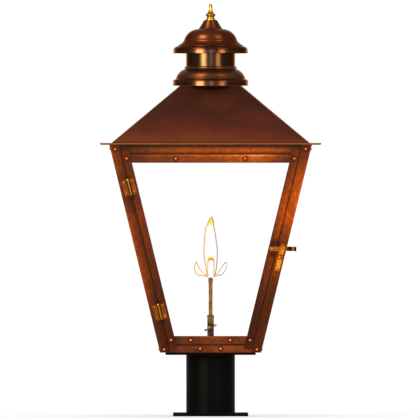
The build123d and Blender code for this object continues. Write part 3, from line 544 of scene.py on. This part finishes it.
def aged_metal(name, main, dark, light, scale, rough, contrast):
    """Cast or rolled metal with darker hollows and rubbed high spots."""
    metal = Finish(name)
    cloud = metal.noise(EVEN, scale, 4.0, 0.6)
    fine = metal.noise(EVEN, scale * 4, 2.0)
    tone = (cloud - 0.5) * 1.5 * contrast + 0.5 + (fine - 0.5) * 0.3
    return metal.surface(
        Base_Color=metal.ramp(tone, [(0.18, dark), (0.5, main), (0.8, light)]),
        Metallic=0.8,
        Roughness=rough + (0.5 - cloud) * 0.2,
        Normal=metal.relief(cloud + fine * 0.4, 0.2, 0.1),
        **BRASS_GLOSS,
    )


def hinge_metal(name, colours):
    """Hinge leaves in bronze brown, with a painted highlight along the knuckles and painted shade in the
    creases beside them.
    """
    metal = Finish(name)
    cloud = metal.noise((1.0, 1.0, 0.5), 110.0, 3.0, 0.6)
    seam = abs(metal.inset() - seam_in)
    painted_knuckle_highlight = seam.ease(2.0 * MM, 0.7 * MM)
    # Painted shade: a dark band in the crease beside each knuckle.
    groove = seam.ease(4.4 * MM, 3.0 * MM) * 0.26
    tone = cloud * 0.5 + 0.2 - groove + painted_knuckle_highlight * 0.55
    # The two lightest steps give the painted highlight on the knuckles.
    steps = [(0.12, colours.brass_dark), (0.45, colours.brass), (0.65, "9c5c1c"), (1.0, "c8923c")]
    return metal.surface(
        Base_Color=metal.ramp(tone, steps),
        Metallic=0.45,
        Roughness=0.42 - painted_knuckle_highlight * 0.08,
        Normal=metal.relief(cloud, 0.2, 0.1),
        **BRASS_GLOSS,
    )


def coursed_metal(name, piece, axis, steps):
    """Brass whose colour follows the steps along one axis of a piece."""
    metal = Finish(name)
    start, end = (getattr(corner, axis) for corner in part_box(piece))
    cloud = metal.noise(EVEN, 160.0, 4.0, 0.6)
    course = (getattr(metal, axis) - start) / (end - start) + (cloud - 0.5) * 0.2
    return metal.surface(
        Base_Color=metal.ramp(course, steps),
        Metallic=0.8,
        Roughness=0.4 + (0.5 - cloud) * 0.2,
        Normal=metal.relief(cloud, 0.2, 0.1),
        **BRASS_GLOSS,
    )


def black_paint(name, colours):
    """Satin black powder coat with its fine orange peel."""
    paint = Finish(name)
    peel = paint.noise(EVEN, 1400.0, 2.0)
    cloud = paint.noise((1.0, 1.0, 0.5), 26.0, 3.0)
    return paint.surface(
        Base_Color=paint.ramp(cloud, [(0.3, colours.paint), (0.75, "15110f")]),
        Metallic=0.0,
        Roughness=0.42 + (peel - 0.5) * 0.1,
        Specular_IOR_Level=0.006,
        Normal=paint.relief(peel, 0.2, 0.04),
    )


def window_glass(name):
    """Clear pane glass that lets the light of the lamps through to the parts behind it."""
    glass = Finish(name)
    haze = glass.noise(EVEN, 12.0, 2.0)
    return glass.surface(
        Base_Color=WHITE,
        Roughness=0.0,
        IOR=1.01,
        Transmission_Weight=1.0,
        Coat_Weight=0.15 + haze * 0.2,
        Coat_Roughness=0.0,
    )


def flame_glow(name, colours):
    """Burning gas: white within, yellow near the tip and over the cone, with a thin orange rim."""
    flame = Finish(name)
    rim = flame.node("ShaderNodeAttribute", {"attribute_name": "rim"}, {}, "Fac")
    heat = flame.node("ShaderNodeAttribute", {"attribute_name": "tip_glow"}, {}, "Fac")
    lift = (flame.z - tip_high.z - 22.0 * MM).most(0.0) / (8.0 * MM)
    side = (flame.x - 0.5 * MM) / (4.8 * MM)
    cone = side * side * side * side + lift * lift
    low = flame.z.ease(tip_high.z + 54.0 * MM, tip_high.z + 36.0 * MM)
    halo = cone.ease(5.0, 1.3) * cone.ease(0.75, 1.1) * low
    hem = cone.ease(2.4, 1.3) * cone.ease(0.78, 1.05) * low
    flicker = flame.noise((1.0, 1.0, 0.4), 90.0, 2.0) * 0.3 + 0.85
    right = flame.x.ease(2.0 * MM, 10.0 * MM)
    body = flame.blend(heat.ease(0.1, 0.8).most(halo), colours.flame_white, colours.flame_yellow)
    inner = flame.blend(rim.ease(0.0, 0.5) * (1.0 - right * 0.7) * flicker, body, "fbe98c")
    edge = flame.blend(right, flame.blend(heat.ease(0.2, 0.8), colours.flame_orange, "f4561c"), "96502c")
    tinted = flame.blend((rim + heat * 0.2).ease(0.35, 0.7).most(hem) * flicker, inner, edge)
    return flame.close(flame.node("ShaderNodeEmission", {}, {"Color": tinted, "Strength": 1.0}))


# ---------------------------------------------------------------- operators
class LANTERN_OT_stage(bpy.types.Operator):
    """Set the floor, the light and the camera."""

    bl_idname = "lantern.stage"
    bl_label = "Stage"

    def execute(self, context):
        scene = context.scene
        stage = scene.lantern_stage
        scene.view_settings.view_transform = "Standard"
        self.add_camera(scene, stage)
        self.add_sky(scene, stage)
        self.add_floor(scene, stage)
        self.add_lamps(scene, stage)
        return {"FINISHED"}

    def add_camera(self, scene, stage):
        aside = -1.0 * MM
        data = bpy.data.cameras.new("stage_camera")
        data.lens = stage.lens
        data.sensor_width = 36.0
        data.clip_end = 400.0
        camera = bpy.data.objects.new("stage_camera", data)
        camera.location = (aside, -stage.distance, stage.height)
        camera.rotation_euler = (pi / 2, 0.0, 0.0)
        scene.collection.objects.link(camera)
        scene.camera = camera

    def add_sky(self, scene, stage):
        scene.world = bpy.data.worlds.new("stage_sky")
        sky = Graph(scene.world)
        level = sky.seen() * (stage.sky_seen - stage.sky_level) + stage.sky_level
        glow = sky.node("ShaderNodeBackground", {}, {"Color": WHITE, "Strength": level})
        sky.node("ShaderNodeOutputWorld", {}, {"Surface": glow}, None)

    def add_floor(self, scene, stage):
        """A pale floor with the object's shadow, as white as the sky where it is seen."""
        reach = 120.0
        below_foot = 0.2 * MM
        corners = [(-reach, -reach, 0.0), (reach, -reach, 0.0), (reach, reach, 0.0), (-reach, reach, 0.0)]
        mesh = mesh_from("stage_floor", corners, [(0, 1, 2, 3)])
        pale = Finish("stage_pale_floor")
        tinted = pale.ramp(pale.noise(EVEN, 2.0, 2.0), [(0.3, "fdfdfd"), (0.7, WHITE)])
        dull = {"Base Color": tinted, "Roughness": 0.9, "Specular IOR Level": 0.0}
        matt = pale.node("ShaderNodeBsdfPrincipled", {}, dull)
        lift = pale.seen() * (stage.floor_seen - stage.sky_level)
        glow = pale.node("ShaderNodeEmission", {}, {"Color": WHITE, "Strength": lift})
        both = pale.node("ShaderNodeAddShader", {}, {"Shader": matt, "Shader_001": glow})
        mesh.materials.append(pale.close(both))
        floor = bpy.data.objects.new("stage_floor", mesh)
        floor.location.z = -below_foot
        scene.collection.objects.link(floor)

    def add_lamps(self, scene, stage):
        """Softboxes: azimuth from the camera's side, elevation, width, height, level and colour."""
        boxes = (
            ("key_left", -33.0, 4.0, 21.0, 18.0, 100.0, (0.92, 1.02, 0.66)),
            ("key_right", 35.0, 4.0, 17.0, 18.0, 36.0, (1.0, 0.80, 0.48)),
            ("fill_front", 3.0, 4.0, 12.0, 18.0, 11.0, (0.95, 1.0, 1.35)),
            ("dome_left", -50.0, 56.0, 18.0, 20.0, 30.0, (1.0, 0.84, 0.42)),
            ("dome_right", 50.0, 56.0, 15.0, 16.0, 14.0, (1.0, 0.76, 0.42)),
            ("back_left", -149.0, 4.0, 20.0, 18.0, 2.5, (1.0, 0.93, 0.82)),
            ("back_right", 149.0, 4.0, 20.0, 18.0, 2.5, (1.0, 0.93, 0.82)),
        )
        away = 2.5
        aim = Vector((0.0, 0.0, 0.45))
        for name, azimuth, elevation, wide, high, level, tint in boxes:
            data = bpy.data.lights.new(name, "AREA")
            data.shape = "RECTANGLE"
            data.size = 2 * away * sin(radians(wide / 2))
            data.size_y = 2 * away * sin(radians(high / 2))
            data.energy = level * data.size * data.size_y * pi * stage.lamp_strength
            data.color = tint
            lamp = bpy.data.objects.new(name, data)
            a, e = radians(azimuth), radians(elevation)
            ray = Vector((sin(a) * cos(e), -cos(a) * cos(e), sin(e)))
            lamp.location = aim + ray * away
            lamp.rotation_euler = ray.to_track_quat("Z", "Y").to_euler()
            lamp.visible_camera = False
            lamp.visible_transmission = False
            lamp.visible_diffuse = False
            scene.collection.objects.link(lamp)


class LANTERN_OT_fitter(bpy.types.Operator):
    """Paint the post fitter and finish its fasteners."""

    bl_idname = "lantern.fitter"
    bl_label = "Post fitter"

    def execute(self, context):
        colours = context.scene.lantern_colours
        give(("base_plate", "mount_tube", "mount_top_plate"), black_paint("fitter_black_paint", colours))
        zinc = aged_metal("zinc_plate", "9a9a96", "6a6a68", "c8c8c2", 180.0, 0.35, 0.6)
        give(("plate_screws", "plate_nuts", "cap_rod", "rod_nuts", "cap_bridge"), zinc)
        return {"FINISHED"}


class LANTERN_OT_frame(bpy.types.Operator):
    """Finish the lantern's posts, rails, floor and rivets in aged copper."""

    bl_idname = "lantern.frame"
    bl_label = "Frame"

    def execute(self, context):
        colours = context.scene.lantern_colours
        self.finish_posts(colours)
        self.finish_rails(colours)
        give(("door_stops",), plain_copper("stop_copper", "3a2014", "26140d", "4e2a18", 0.45))
        rivets = aged_metal("rivet_copper", colours.rivet, colours.warm, colours.bright, 900.0, 0.5, 0.7)
        give(("frame_rivets", "door_rivets"), rivets)
        dull = aged_metal("dull_rivet_copper", "8c3c16", "5a240c", "b4541e", 600.0, 0.55, 0.7)
        give(("latch_rivet", "hinge_rivets_frame", "hinge_rivets_door"), dull)
        return {"FINISHED"}

    def finish_posts(self, colours):
        width = 16.5 * MM
        rivet_in = 8.25 * MM
        ends = (edge_spot(body_top_z - 8.1 * MM, rivet_in), edge_spot(body_z + 5.0 * MM, rivet_in))
        # Tones along the height and across each post are partly patina and partly painted light: the brighter
        # stretches are painted highlights.
        left = [
            (0.0, 0.18), (0.155, 0.17), (0.25, 0.24), (0.35, 0.38), (0.54, 0.45), (0.64, 0.36), (0.73, 0.18),
            (0.84, 0.24), (0.93, 0.34), (1.0, 0.3),
        ]
        right = [
            (0.0, 0.2), (0.155, 0.13), (0.25, 0.18), (0.44, 0.33), (0.54, 0.3), (0.64, 0.62), (0.73, 0.68),
            (0.84, 0.60), (0.94, 0.3), (1.0, 0.2),
        ]
        left_profile = [(0.0, 0.66), (0.2, 0.58), (0.45, 0.46), (0.7, 0.38), (0.92, 0.26), (1.0, 0.16)]
        right_profile = [(0.0, 0.62), (0.3, 0.52), (0.8, 0.5), (0.94, 0.4), (1.0, 0.22)]
        posts = (
            ("left", left, left_profile, hinge_patina()),
            ("right", right, right_profile, latch_patina()),
        )
        for side, course, profile, spots in posts:
            give(
                (f"corner_post_front_{side}", f"corner_post_back_{side}"),
                upright_copper(f"post_copper_{side}", colours, course, profile, width, 0.0, ends + spots),
            )

    def finish_rails(self, colours):
        # Tones along the top rail are partly patina and partly painted light, brightest where a highlight is
        # painted; the dark top of its profile is soot and painted shadow under the brim.
        top = [
            (0.04, 0.06), (0.1, 0.12), (0.19, 0.29), (0.3, 0.48), (0.5, 0.52), (0.66, 0.56), (0.84, 0.46),
            (0.95, 0.08),
        ]
        top_low, top_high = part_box("top_rail_front")
        top_profile = [
            (0.0, 0.1), (0.08, 0.2), (0.22, 0.48), (0.45, 0.58), (0.6, 0.42), (0.75, 0.16), (1.0, 0.05)
        ]
        give(
            [f"top_rail_{side}" for side in SIDES],
            rail_copper("top_rail_copper", colours, top, top_low.z, top_high.z, top_profile, ()),
        )
        # Tones along the bottom rail and up its face are partly patina and partly painted light: the bright
        # band is a painted highlight.
        low = [(0.22, 0.18), (0.3, 0.24), (0.41, 0.32), (0.54, 0.44), (0.62, 0.37), (0.68, 0.4), (0.76, 0.32)]
        low_low, low_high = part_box("bottom_rail_front")
        low_profile = [(0.0, 0.36), (0.12, 0.46), (0.5, 0.46), (0.66, 0.6), (0.8, 0.4), (1.0, 0.2)]
        rivet_spots = ((17.3 * MM, body_z + 6.0 * MM),)
        give(
            [f"bottom_rail_{side}" for side in SIDES] + ["floor_pan"],
            rail_copper("bottom_rail_copper", colours, low, low_low.z, low_high.z, low_profile, rivet_spots),
        )


class LANTERN_OT_door(bpy.types.Operator):
    """Finish the door's stiles, rails and tabs in aged copper."""

    bl_idname = "lantern.door"
    bl_label = "Door"

    def execute(self, context):
        colours = context.scene.lantern_colours
        self.finish_stiles(colours)
        self.finish_rails(colours)
        tabs = plain_copper("tab_copper", colours.brown, colours.patina, colours.warm, 0.4)
        give(("door_tabs", "pane_tabs"), tabs)
        return {"FINISHED"}

    def finish_stiles(self, colours):
        width = 16.0 * MM
        first = 17.3 * MM
        rivet_in = 24.8 * MM
        rivet_up = 6.9 * MM
        rails = (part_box("door_rail_top")[0].z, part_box("door_rail_bottom")[0].z)
        ends = tuple(edge_spot(z + rivet_up, rivet_in) for z in rails)
        # Tones along the height and across each stile are partly patina and partly painted light: the
        # brighter stretches are painted highlights, and the dark strip at the seam with the post is partly
        # painted shade.
        left = [
            (0.0, 0.20), (0.155, 0.17), (0.35, 0.22), (0.44, 0.26), (0.54, 0.34), (0.64, 0.36), (0.73, 0.3),
            (0.84, 0.25), (1.0, 0.22),
        ]
        right = [
            (0.0, 0.1), (0.155, 0.08), (0.25, 0.13), (0.35, 0.24), (0.44, 0.32), (0.54, 0.32), (0.6, 0.54),
            (0.73, 0.54), (0.84, 0.5), (0.9, 0.3), (1.0, 0.26),
        ]
        left_profile = [(0.0, 0.14), (0.06, 0.3), (0.16, 0.47), (0.5, 0.42), (0.88, 0.37), (1.0, 0.26)]
        right_profile = [(0.0, 0.24), (0.06, 0.5), (0.16, 0.6), (0.5, 0.46), (0.88, 0.37), (1.0, 0.28)]
        stiles = (
            ("left", left, left_profile, hinge_patina()),
            ("right", right, right_profile, latch_patina()),
        )
        for side, course, profile, spots in stiles:
            give(
                (f"door_stile_{side}",),
                upright_copper(f"stile_copper_{side}", colours, course, profile, width, first, ends + spots),
            )

    def finish_rails(self, colours):
        rivet_up = 7.0 * MM
        top_low, top_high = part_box("door_rail_top")
        low_low, low_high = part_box("door_rail_bottom")
        # Tones along the door's top rail are partly patina and partly painted light; the bright band at its
        # upper edge is a painted highlight.
        top = [
            (0.08, 0.1), (0.19, 0.32), (0.3, 0.42), (0.45, 0.52), (0.6, 0.62), (0.72, 0.76), (0.8, 0.5),
            (0.9, 0.2),
        ]
        top_profile = [
            (0.0, 0.16), (0.1, 0.38), (0.4, 0.40), (0.66, 0.42), (0.82, 0.66), (0.95, 0.7), (1.0, 0.2)
        ]
        top_rivets = ((58.4 * MM, top_low.z + rivet_up),)
        give(
            ("door_rail_top",),
            rail_copper("door_top_copper", colours, top, top_low.z, top_high.z, top_profile, top_rivets),
        )
        # Tones along the door's bottom rail are partly patina and partly painted light; its brighter upper
        # edge is a painted highlight.
        low = [
            (0.28, 0.14), (0.33, 0.2), (0.39, 0.36), (0.46, 0.46), (0.52, 0.48), (0.59, 0.36), (0.66, 0.3),
            (0.74, 0.2),
        ]
        low_profile = [(0.0, 0.2), (0.15, 0.44), (0.8, 0.46), (0.92, 0.56), (1.0, 0.66)]
        low_rivets = ((33.3 * MM, low_low.z + rivet_up),)
        give(
            ("door_rail_bottom",),
            rail_copper("door_low_copper", colours, low, low_low.z, low_high.z, low_profile, low_rivets),
        )


class LANTERN_OT_hinges(bpy.types.Operator):
    """Finish the hinges in mottled brass."""

    bl_idname = "lantern.hinges"
    bl_label = "Hinges"

    def execute(self, context):
        colours = context.scene.lantern_colours
        leaves = [f"hinge_{owner}_leaf_{place}" for owner in ("frame", "door") for place in PLACES]
        give(leaves, hinge_metal("hinge_brass", colours))
        pins = aged_metal("pin_brass", "7c5a1c", colours.brass_dark, "b88c38", 500.0, 0.34, 0.8)
        give(("hinge_pins",), pins)
        return {"FINISHED"}


class LANTERN_OT_latch(bpy.types.Operator):
    """Finish the latch bar, its keeper and their rivets in brass."""

    bl_idname = "lantern.latch"
    bl_label = "Latch"

    def execute(self, context):
        steps = [
            (0.0, "96581c"), (0.3, "8a4c18"), (0.6, "7a4218"), (0.68, "4a240e"), (0.74, "140b06"),
            (0.82, "2a160a"), (0.88, "9a6020"), (0.93, "5a3210"), (0.97, "1c0e08"),
        ]
        give(("latch_bar",), coursed_metal("latch_brass", "latch_bar", "x", steps))
        give(("latch_keeper",), aged_metal("keeper_brass", "a05c12", "6e380c", "c8802a", 50.0, 0.5, 0.8))
        give(("keeper_rivets",), aged_metal("knob_brass", "8e4412", "5c280a", "b86820", 160.0, 0.52, 0.7))
        return {"FINISHED"}


class LANTERN_OT_glazing(bpy.types.Operator):
    """Glaze the door and the three fixed sides."""

    bl_idname = "lantern.glazing"
    bl_label = "Glazing"

    def execute(self, context):
        give(("pane_right", "pane_back", "pane_left", "door_pane"), window_glass("pane_glass"))
        return {"FINISHED"}


class LANTERN_OT_roof(bpy.types.Operator):
    """Finish the roof's sheets and solder its hips."""

    bl_idname = "lantern.roof"
    bl_label = "Roof"

    def execute(self, context):
        colours = context.scene.lantern_colours
        # At the foot of the ramp, a painted highlight on the brim's edge and a painted shade line just above
        # it.
        steps = [
            (0.0, "8c5438"), (0.012, "703f28"), (0.022, "38200f"), (0.05, "6c341d"),
            (0.16, "5e2b1b"), (0.32, "4e2319"), (0.55, colours.roof), (1.0, "361a14"),
        ]
        give([f"roof_panel_{side}" for side in SIDES] + ["roof_crown"], roof_copper("roof_copper", steps))
        # The hip seams are solder kept light: partly the solder's own colour, partly a painted highlight
        # along each hip.
        solder = plain_copper("seam_solder", "7c5236", "5e3c26", "966844", 0.35)
        self.add_seams(context.scene.lantern_sizes.seam_radius, solder)
        return {"FINISHED"}

    def add_seams(self, radius, material):
        """A low solder bead on each hip, from the brim to the crown."""
        foot = half_top - 5.5 * MM
        foot_z = brim_low.z + 2.4 * MM
        sunk = 0.6 * MM
        points = []
        faces = []
        sides = 8
        for turn in range(4):
            angle = pi / 4 + turn * pi / 2
            out = Vector((cos(angle), sin(angle), 0.0))
            low = out * foot * sqrt(2) + Vector((0.0, 0.0, foot_z))
            high = out * (crown_high.x - sunk) * sqrt(2) + Vector((0.0, 0.0, crown_high.z - sunk))
            run = (high - low).normalized()
            across = Vector((-out.y, out.x, 0.0))
            up = across.cross(run)
            start = len(points)
            for end in (low, high):
                for k in range(sides):
                    a = 2 * pi * k / sides
                    points.append(end + (across * cos(a) + up * sin(a)) * radius)
            for k in range(sides):
                j = (k + 1) % sides
                faces.append((start + k, start + j, start + sides + j, start + sides + k))
            faces.append([start + k for k in range(sides)])
            faces.append([start + sides + k for k in range(sides)])
        add_piece("roof_seams", mesh_from("roof_seams", points, faces), "lantern", material)


class LANTERN_OT_vent(bpy.types.Operator):
    """Turn the collar and the cap with their rolled grooves, and finish the drum."""

    bl_idname = "lantern.vent"
    bl_label = "Vent"

    def execute(self, context):
        groove = context.scene.lantern_sizes.groove_depth / MM
        spun = context.scene.lantern_colours.spun
        steps = [
            (0.0, spun), (0.06, spun), (0.1, "46261a"), (0.22, "5c3020"), (0.27, "5a301e"), (0.3, "281b10"),
            (0.49, "281b10"), (0.51, spun), (0.59, spun), (0.64, "4c2616"), (0.85, "54291a"), (1.0, "4c2616"),
        ]
        metal = [
            (0.14, 0.9), (0.22, 0.4), (0.28, 0.4), (0.31, 1.0), (0.8, 0.9), (0.84, 0.6), (0.88, 0.6),
            (0.93, 0.9),
        ]
        rough = [(0.09, 0.22), (0.13, 0.32), (0.28, 0.32), (0.31, 0.24), (0.59, 0.23), (0.64, 0.3)]
        copper = spun_copper("spun_copper", steps, metal, rough)
        give(("vent_drum",), copper)
        self.add_cap(groove, copper)
        self.add_collar(groove, copper)
        return {"FINISHED"}

    def add_cap(self, groove, material):
        outer = [(63.2, 0.0), (63.2, 1.0), (62.9, 5.4)]
        outer += [(62.9 - groove, 5.8), (62.9 - groove, 6.3), (62.7, 6.7)]
        outer += bow((62.7, 6.7), (60.9, 9.6), (57.0, 11.5))
        outer += [(57.0, 11.5), (55.6, 12.0), (55.3, 12.3), (55.1, 13.3)]
        outer += bow((55.1, 13.3), (49.0, 17.2), (45.2, 20.9))
        outer += bow((45.2, 20.9), (37.3, 34.3), (20.5, 41.2), 20)
        outer += bow((20.5, 41.2), (13.9, 50.9), (11.0, 56.1), 12)
        outer += [(11.0, 56.1), (3.1, 56.1)]
        inner = [(3.1, 55.1), (10.0, 55.1)]
        inner += bow((10.0, 55.1), (12.9, 49.9), (19.5, 40.2), 12)
        inner += bow((19.5, 40.2), (36.3, 33.3), (44.2, 19.9), 20)
        inner += bow((44.2, 19.9), (48.2, 16.2), (54.3, 12.3))
        inner += [(54.3, 12.3), (60.0, 8.0), (62.0, 5.0), (62.2, 0.0)]
        piece = add_turning("cap_shell", outer + inner, cap_low.z, material)
        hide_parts("dome_cap")

    def add_collar(self, groove, material):
        outer = [(63.7, 0.0), (63.7, 3.2), (63.7 - groove, 3.5), (63.7 - groove, 4.0)]
        outer += [(63.7, 4.3), (63.7, 7.4)]
        outer += bow((63.7, 7.4), (62.6, 9.6), (60.0, 10.6), 6)
        outer += [(60.0, 10.6), (59.3, 10.9), (58.9, 11.3), (58.7, 12.2)]
        outer += bow((58.7, 12.2), (55.0, 19.6), (47.0, 26.9), 14)
        outer += [(47.0, 26.9), (44.6, 27.3), (43.6, 27.9)]
        outer += bow((43.6, 27.9), (44.3, 30.0), (43.6, 32.5), 8)
        outer += [(43.6, 32.5), (41.6, 32.5)]
        inner = [(41.6, 26.4), (46.0, 26.4)]
        inner += bow((46.0, 26.4), (54.0, 18.6), (57.7, 11.2), 14)
        inner += [(57.7, 11.2), (59.2, 9.8), (61.4, 8.6), (62.7, 7.0), (62.7, 0.0)]
        piece = add_turning("collar_shell", outer + inner, collar_low.z, material)
        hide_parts("vent_collar")


class LANTERN_OT_finial(bpy.types.Operator):
    """Turn the finial from polished brass."""

    bl_idname = "lantern.finial"
    bl_label = "Finial"

    def execute(self, context):
        gold = aged_metal(
            "finial_brass", context.scene.lantern_colours.gold, "4a300c", "a87a28", 160.0, 0.3, 0.6
        )
        bore_radius = 3.05
        bore_depth = 11.0
        profile = [(bore_radius, 0.0), (7.5, 0.0), (7.9, 0.3), (7.9, 1.6)]
        profile += bow((7.9, 1.6), (6.3, 4.0), (6.5, 6.2), 8)
        profile += [(6.5, 6.2), (7.6, 7.4)]
        profile += bow((7.6, 7.4), (8.4, 8.9), (7.5, 10.2), 6)
        profile += bow((7.5, 10.2), (5.6, 11.6), (4.4, 13.0), 6)
        profile += bow((4.4, 13.0), (4.6, 13.7), (4.2, 14.3), 4)
        profile += bow((4.2, 14.3), (3.4, 15.0), (3.0, 16.4), 5)
        profile += [(3.0, 16.4), (2.9, 20.0), (3.0, 24.2)]
        profile += bow((3.0, 24.2), (2.2, 26.2), (0.01, 26.9), 6)
        profile += [(0.0, 26.9), (0.0, bore_depth), (bore_radius, bore_depth)]
        piece = add_turning("finial_turning", profile, finial_low.z, gold, 64)
        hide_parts("finial")
        return {"FINISHED"}


class LANTERN_OT_burner(bpy.types.Operator):
    """Finish the gas valve, the riser and the tip in aged brass."""

    bl_idname = "lantern.burner"
    bl_label = "Burner"

    def execute(self, context):
        riser = aged_metal("riser_brass", "94682c", "704a1a", "b4863c", 90.0, 0.4, 0.7)
        give(("riser_tube", "burner_tip", "gas_inlet", "inlet_nut"), riser)
        steps = [
            (0.0, "3a2810"), (0.5, "46300f"), (0.56, "140d07"), (0.72, "1c1208"), (0.8, "7c5520"),
            (0.92, "9a6e2c"), (1.0, "5c3e16"),
        ]
        give(("valve_body",), coursed_metal("valve_brass", "valve_body", "z", steps))
        give(("valve_handle",), aged_metal("handle_brass", "86642c", "3a2810", "d8b870", 120.0, 0.3, 0.8))
        return {"FINISHED"}


# Outlines of the flame's three sheets from foot to tip, each row a left and a right place in pixels.
FLAME_TONGUE = [
    ((208.9, 278.2), (215.3, 278.2)), ((207.6, 274.7), (217.1, 273.7)), ((206.7, 268.6), (218.0, 268.6)),
    ((205.7, 262.4), (218.5, 262.4)), ((204.7, 256.3), (219.0, 256.3)), ((204.5, 249.2), (218.8, 249.2)),
    ((205.2, 241.0), (217.8, 241.0)), ((205.7, 233.9), (216.9, 233.9)), ((206.5, 227.8), (215.7, 227.8)),
    ((209.3, 221.4), (214.9, 220.8)), ((211.4, 217.8), (213.9, 217.4)), ((212.7, 216.3), (213.1, 216.3)),
]
FLAME_LEFT = [
    ((209.2, 277.9), (208.9, 275.6)), ((205.5, 277.2), (205.7, 274.7)), ((202.3, 276.9), (203.2, 271.6)),
    ((199.4, 276.5), (202.0, 270.0)), ((196.7, 274.2), (200.6, 268.1)), ((195.5, 270.6), (199.8, 266.5)),
    ((195.3, 267.0), (199.1, 265.0)), ((196.3, 263.5), (198.4, 263.2)), ((197.7, 261.9), (197.9, 261.9)),
]
FLAME_RIGHT = [
    ((215.6, 275.6), (215.2, 277.8)), ((219.0, 273.7), (219.0, 276.8)), ((221.0, 270.6), (222.6, 276.2)),
    ((223.1, 267.0), (225.6, 273.2)), ((225.6, 263.5), (227.7, 269.1)), ((226.9, 262.6), (228.4, 265.0)),
    ((227.9, 262.2), (228.1, 262.2)),
]


class LANTERN_OT_flame(bpy.types.Operator):
    """Shape the fan-shaped gas flame over the burner's slot."""

    bl_idname = "lantern.flame"
    bl_label = "Flame"

    def execute(self, context):
        sizes = context.scene.lantern_sizes
        glow = flame_glow("gas_flame", context.scene.lantern_colours)
        glow_row = 228.5
        self.add_sheet("flame_tongue", FLAME_TONGUE, glow_row, sizes, glow)
        self.add_sheet("flame_left", FLAME_LEFT, None, sizes, glow)
        self.add_sheet("flame_right", FLAME_RIGHT, None, sizes, glow)
        return {"FINISHED"}

    def add_sheet(self, name, rows, tip, sizes, material):
        """A closed lens-shaped sheet between its outlines, which glows yellow above the tip's row."""
        pixel = 1.692
        axis_column = 211.8
        foot_row = 278.2
        tall = 0.985
        glow_rows = 8.0
        end_step = 0.6
        steps = 6
        across = 20
        outline = []
        for first, second in zip(rows, rows[1:]):
            for k in range(steps):
                t = k / steps
                outline.append([[a + (b - a) * t for a, b in zip(p, q)] for p, q in zip(first, second)])
        outline.append([list(point) for point in rows[-1]])
        last = len(outline) - 1
        foot = tip_high.z / MM + 0.3
        points = []
        rims = []
        heats = []
        index = {}
        for i, (left, right) in enumerate(outline):
            wide = dist(left, right) * pixel
            half = min(sizes.flame_thickness / MM / 2, wide / 2)
            heat = (tip - (left[1] + right[1]) / 2) / glow_rows if tip else 0.0
            for k in range(across + 1):
                s = sin(pi / 2 * (2.0 * k / across - 1.0))
                share = (s + 1) / 2
                x = (left[0] + (right[0] - left[0]) * share - axis_column) * pixel
                z = foot + (foot_row - left[1] - (right[1] - left[1]) * share) * pixel * tall
                edge = k in (0, across) or i in (0, last)
                depth = 0.0 if edge else sqrt(1 - s * s) * half
                near = min(wide / 2 * (1 - abs(s)), (last - i) * end_step)
                for face in (-1, 1):
                    if edge and face == 1:
                        index[i, k, 1] = index[i, k, -1]
                        continue
                    index[i, k, face] = len(points)
                    points.append((x * MM, face * depth * MM, z * MM))
                    rims.append(max(0.0, 1.0 - near * MM / sizes.flame_edge))
                    heats.append(max(0.0, min(1.0, heat)))
        faces = []
        for i in range(last):
            for k in range(across):
                for face in (-1, 1):
                    places = ((i, k), (i, k + 1), (i + 1, k + 1), (i + 1, k))
                    corners = [index[row, column, face] for row, column in places]
                    faces.append(corners if face == -1 else corners[::-1])
        sheet = mesh_from(name, points, faces, 80.0)
        for label, values in (("rim", rims), ("tip_glow", heats)):
            layer = sheet.attributes.new(label, "FLOAT", "POINT")
            layer.data.foreach_set("value", values)
        add_piece(name, sheet, "lantern", material)


class LANTERN_PT_panel(bpy.types.Panel):
    """The lantern's settings and its steps."""

    bl_idname = "LANTERN_PT_panel"
    bl_label = "Post Top Gas Lantern"
    bl_space_type = "VIEW_3D"
    bl_region_type = "UI"
    bl_category = "Lantern"

    def draw(self, context):
        for name, _ in SETTINGS:
            group = getattr(context.scene, name)
            box = self.layout.box()
            for key in group.bl_rna.properties.keys():
                if key not in ("rna_type", "name"):
                    box.prop(group, key)
        for step in STEPS:
            self.layout.operator(step.bl_idname)


SETTINGS = (
    ("lantern_sizes", LanternSizes),
    ("lantern_colours", LanternColours),
    ("lantern_stage", LanternStage),
)
STEPS = (
    LANTERN_OT_stage,
    LANTERN_OT_fitter,
    LANTERN_OT_frame,
    LANTERN_OT_door,
    LANTERN_OT_hinges,
    LANTERN_OT_latch,
    LANTERN_OT_glazing,
    LANTERN_OT_roof,
    LANTERN_OT_vent,
    LANTERN_OT_finial,
    LANTERN_OT_burner,
    LANTERN_OT_flame,
)


def register():
    for name, group in SETTINGS:
        bpy.utils.register_class(group)
        setattr(bpy.types.Scene, name, PointerProperty(type=group))
    for step in STEPS:
        bpy.utils.register_class(step)
    bpy.utils.register_class(LANTERN_PT_panel)


def unregister():
    bpy.utils.unregister_class(LANTERN_PT_panel)
    for step in reversed(STEPS):
        bpy.utils.unregister_class(step)
    for name, group in reversed(SETTINGS):
        delattr(bpy.types.Scene, name)
        bpy.utils.unregister_class(group)


def main():
    register()
    for step in STEPS:
        getattr(bpy.ops.lantern, step.bl_idname.removeprefix("lantern."))()
    bpy.context.view_layer.update()


if __name__ == "__main__":
    main()
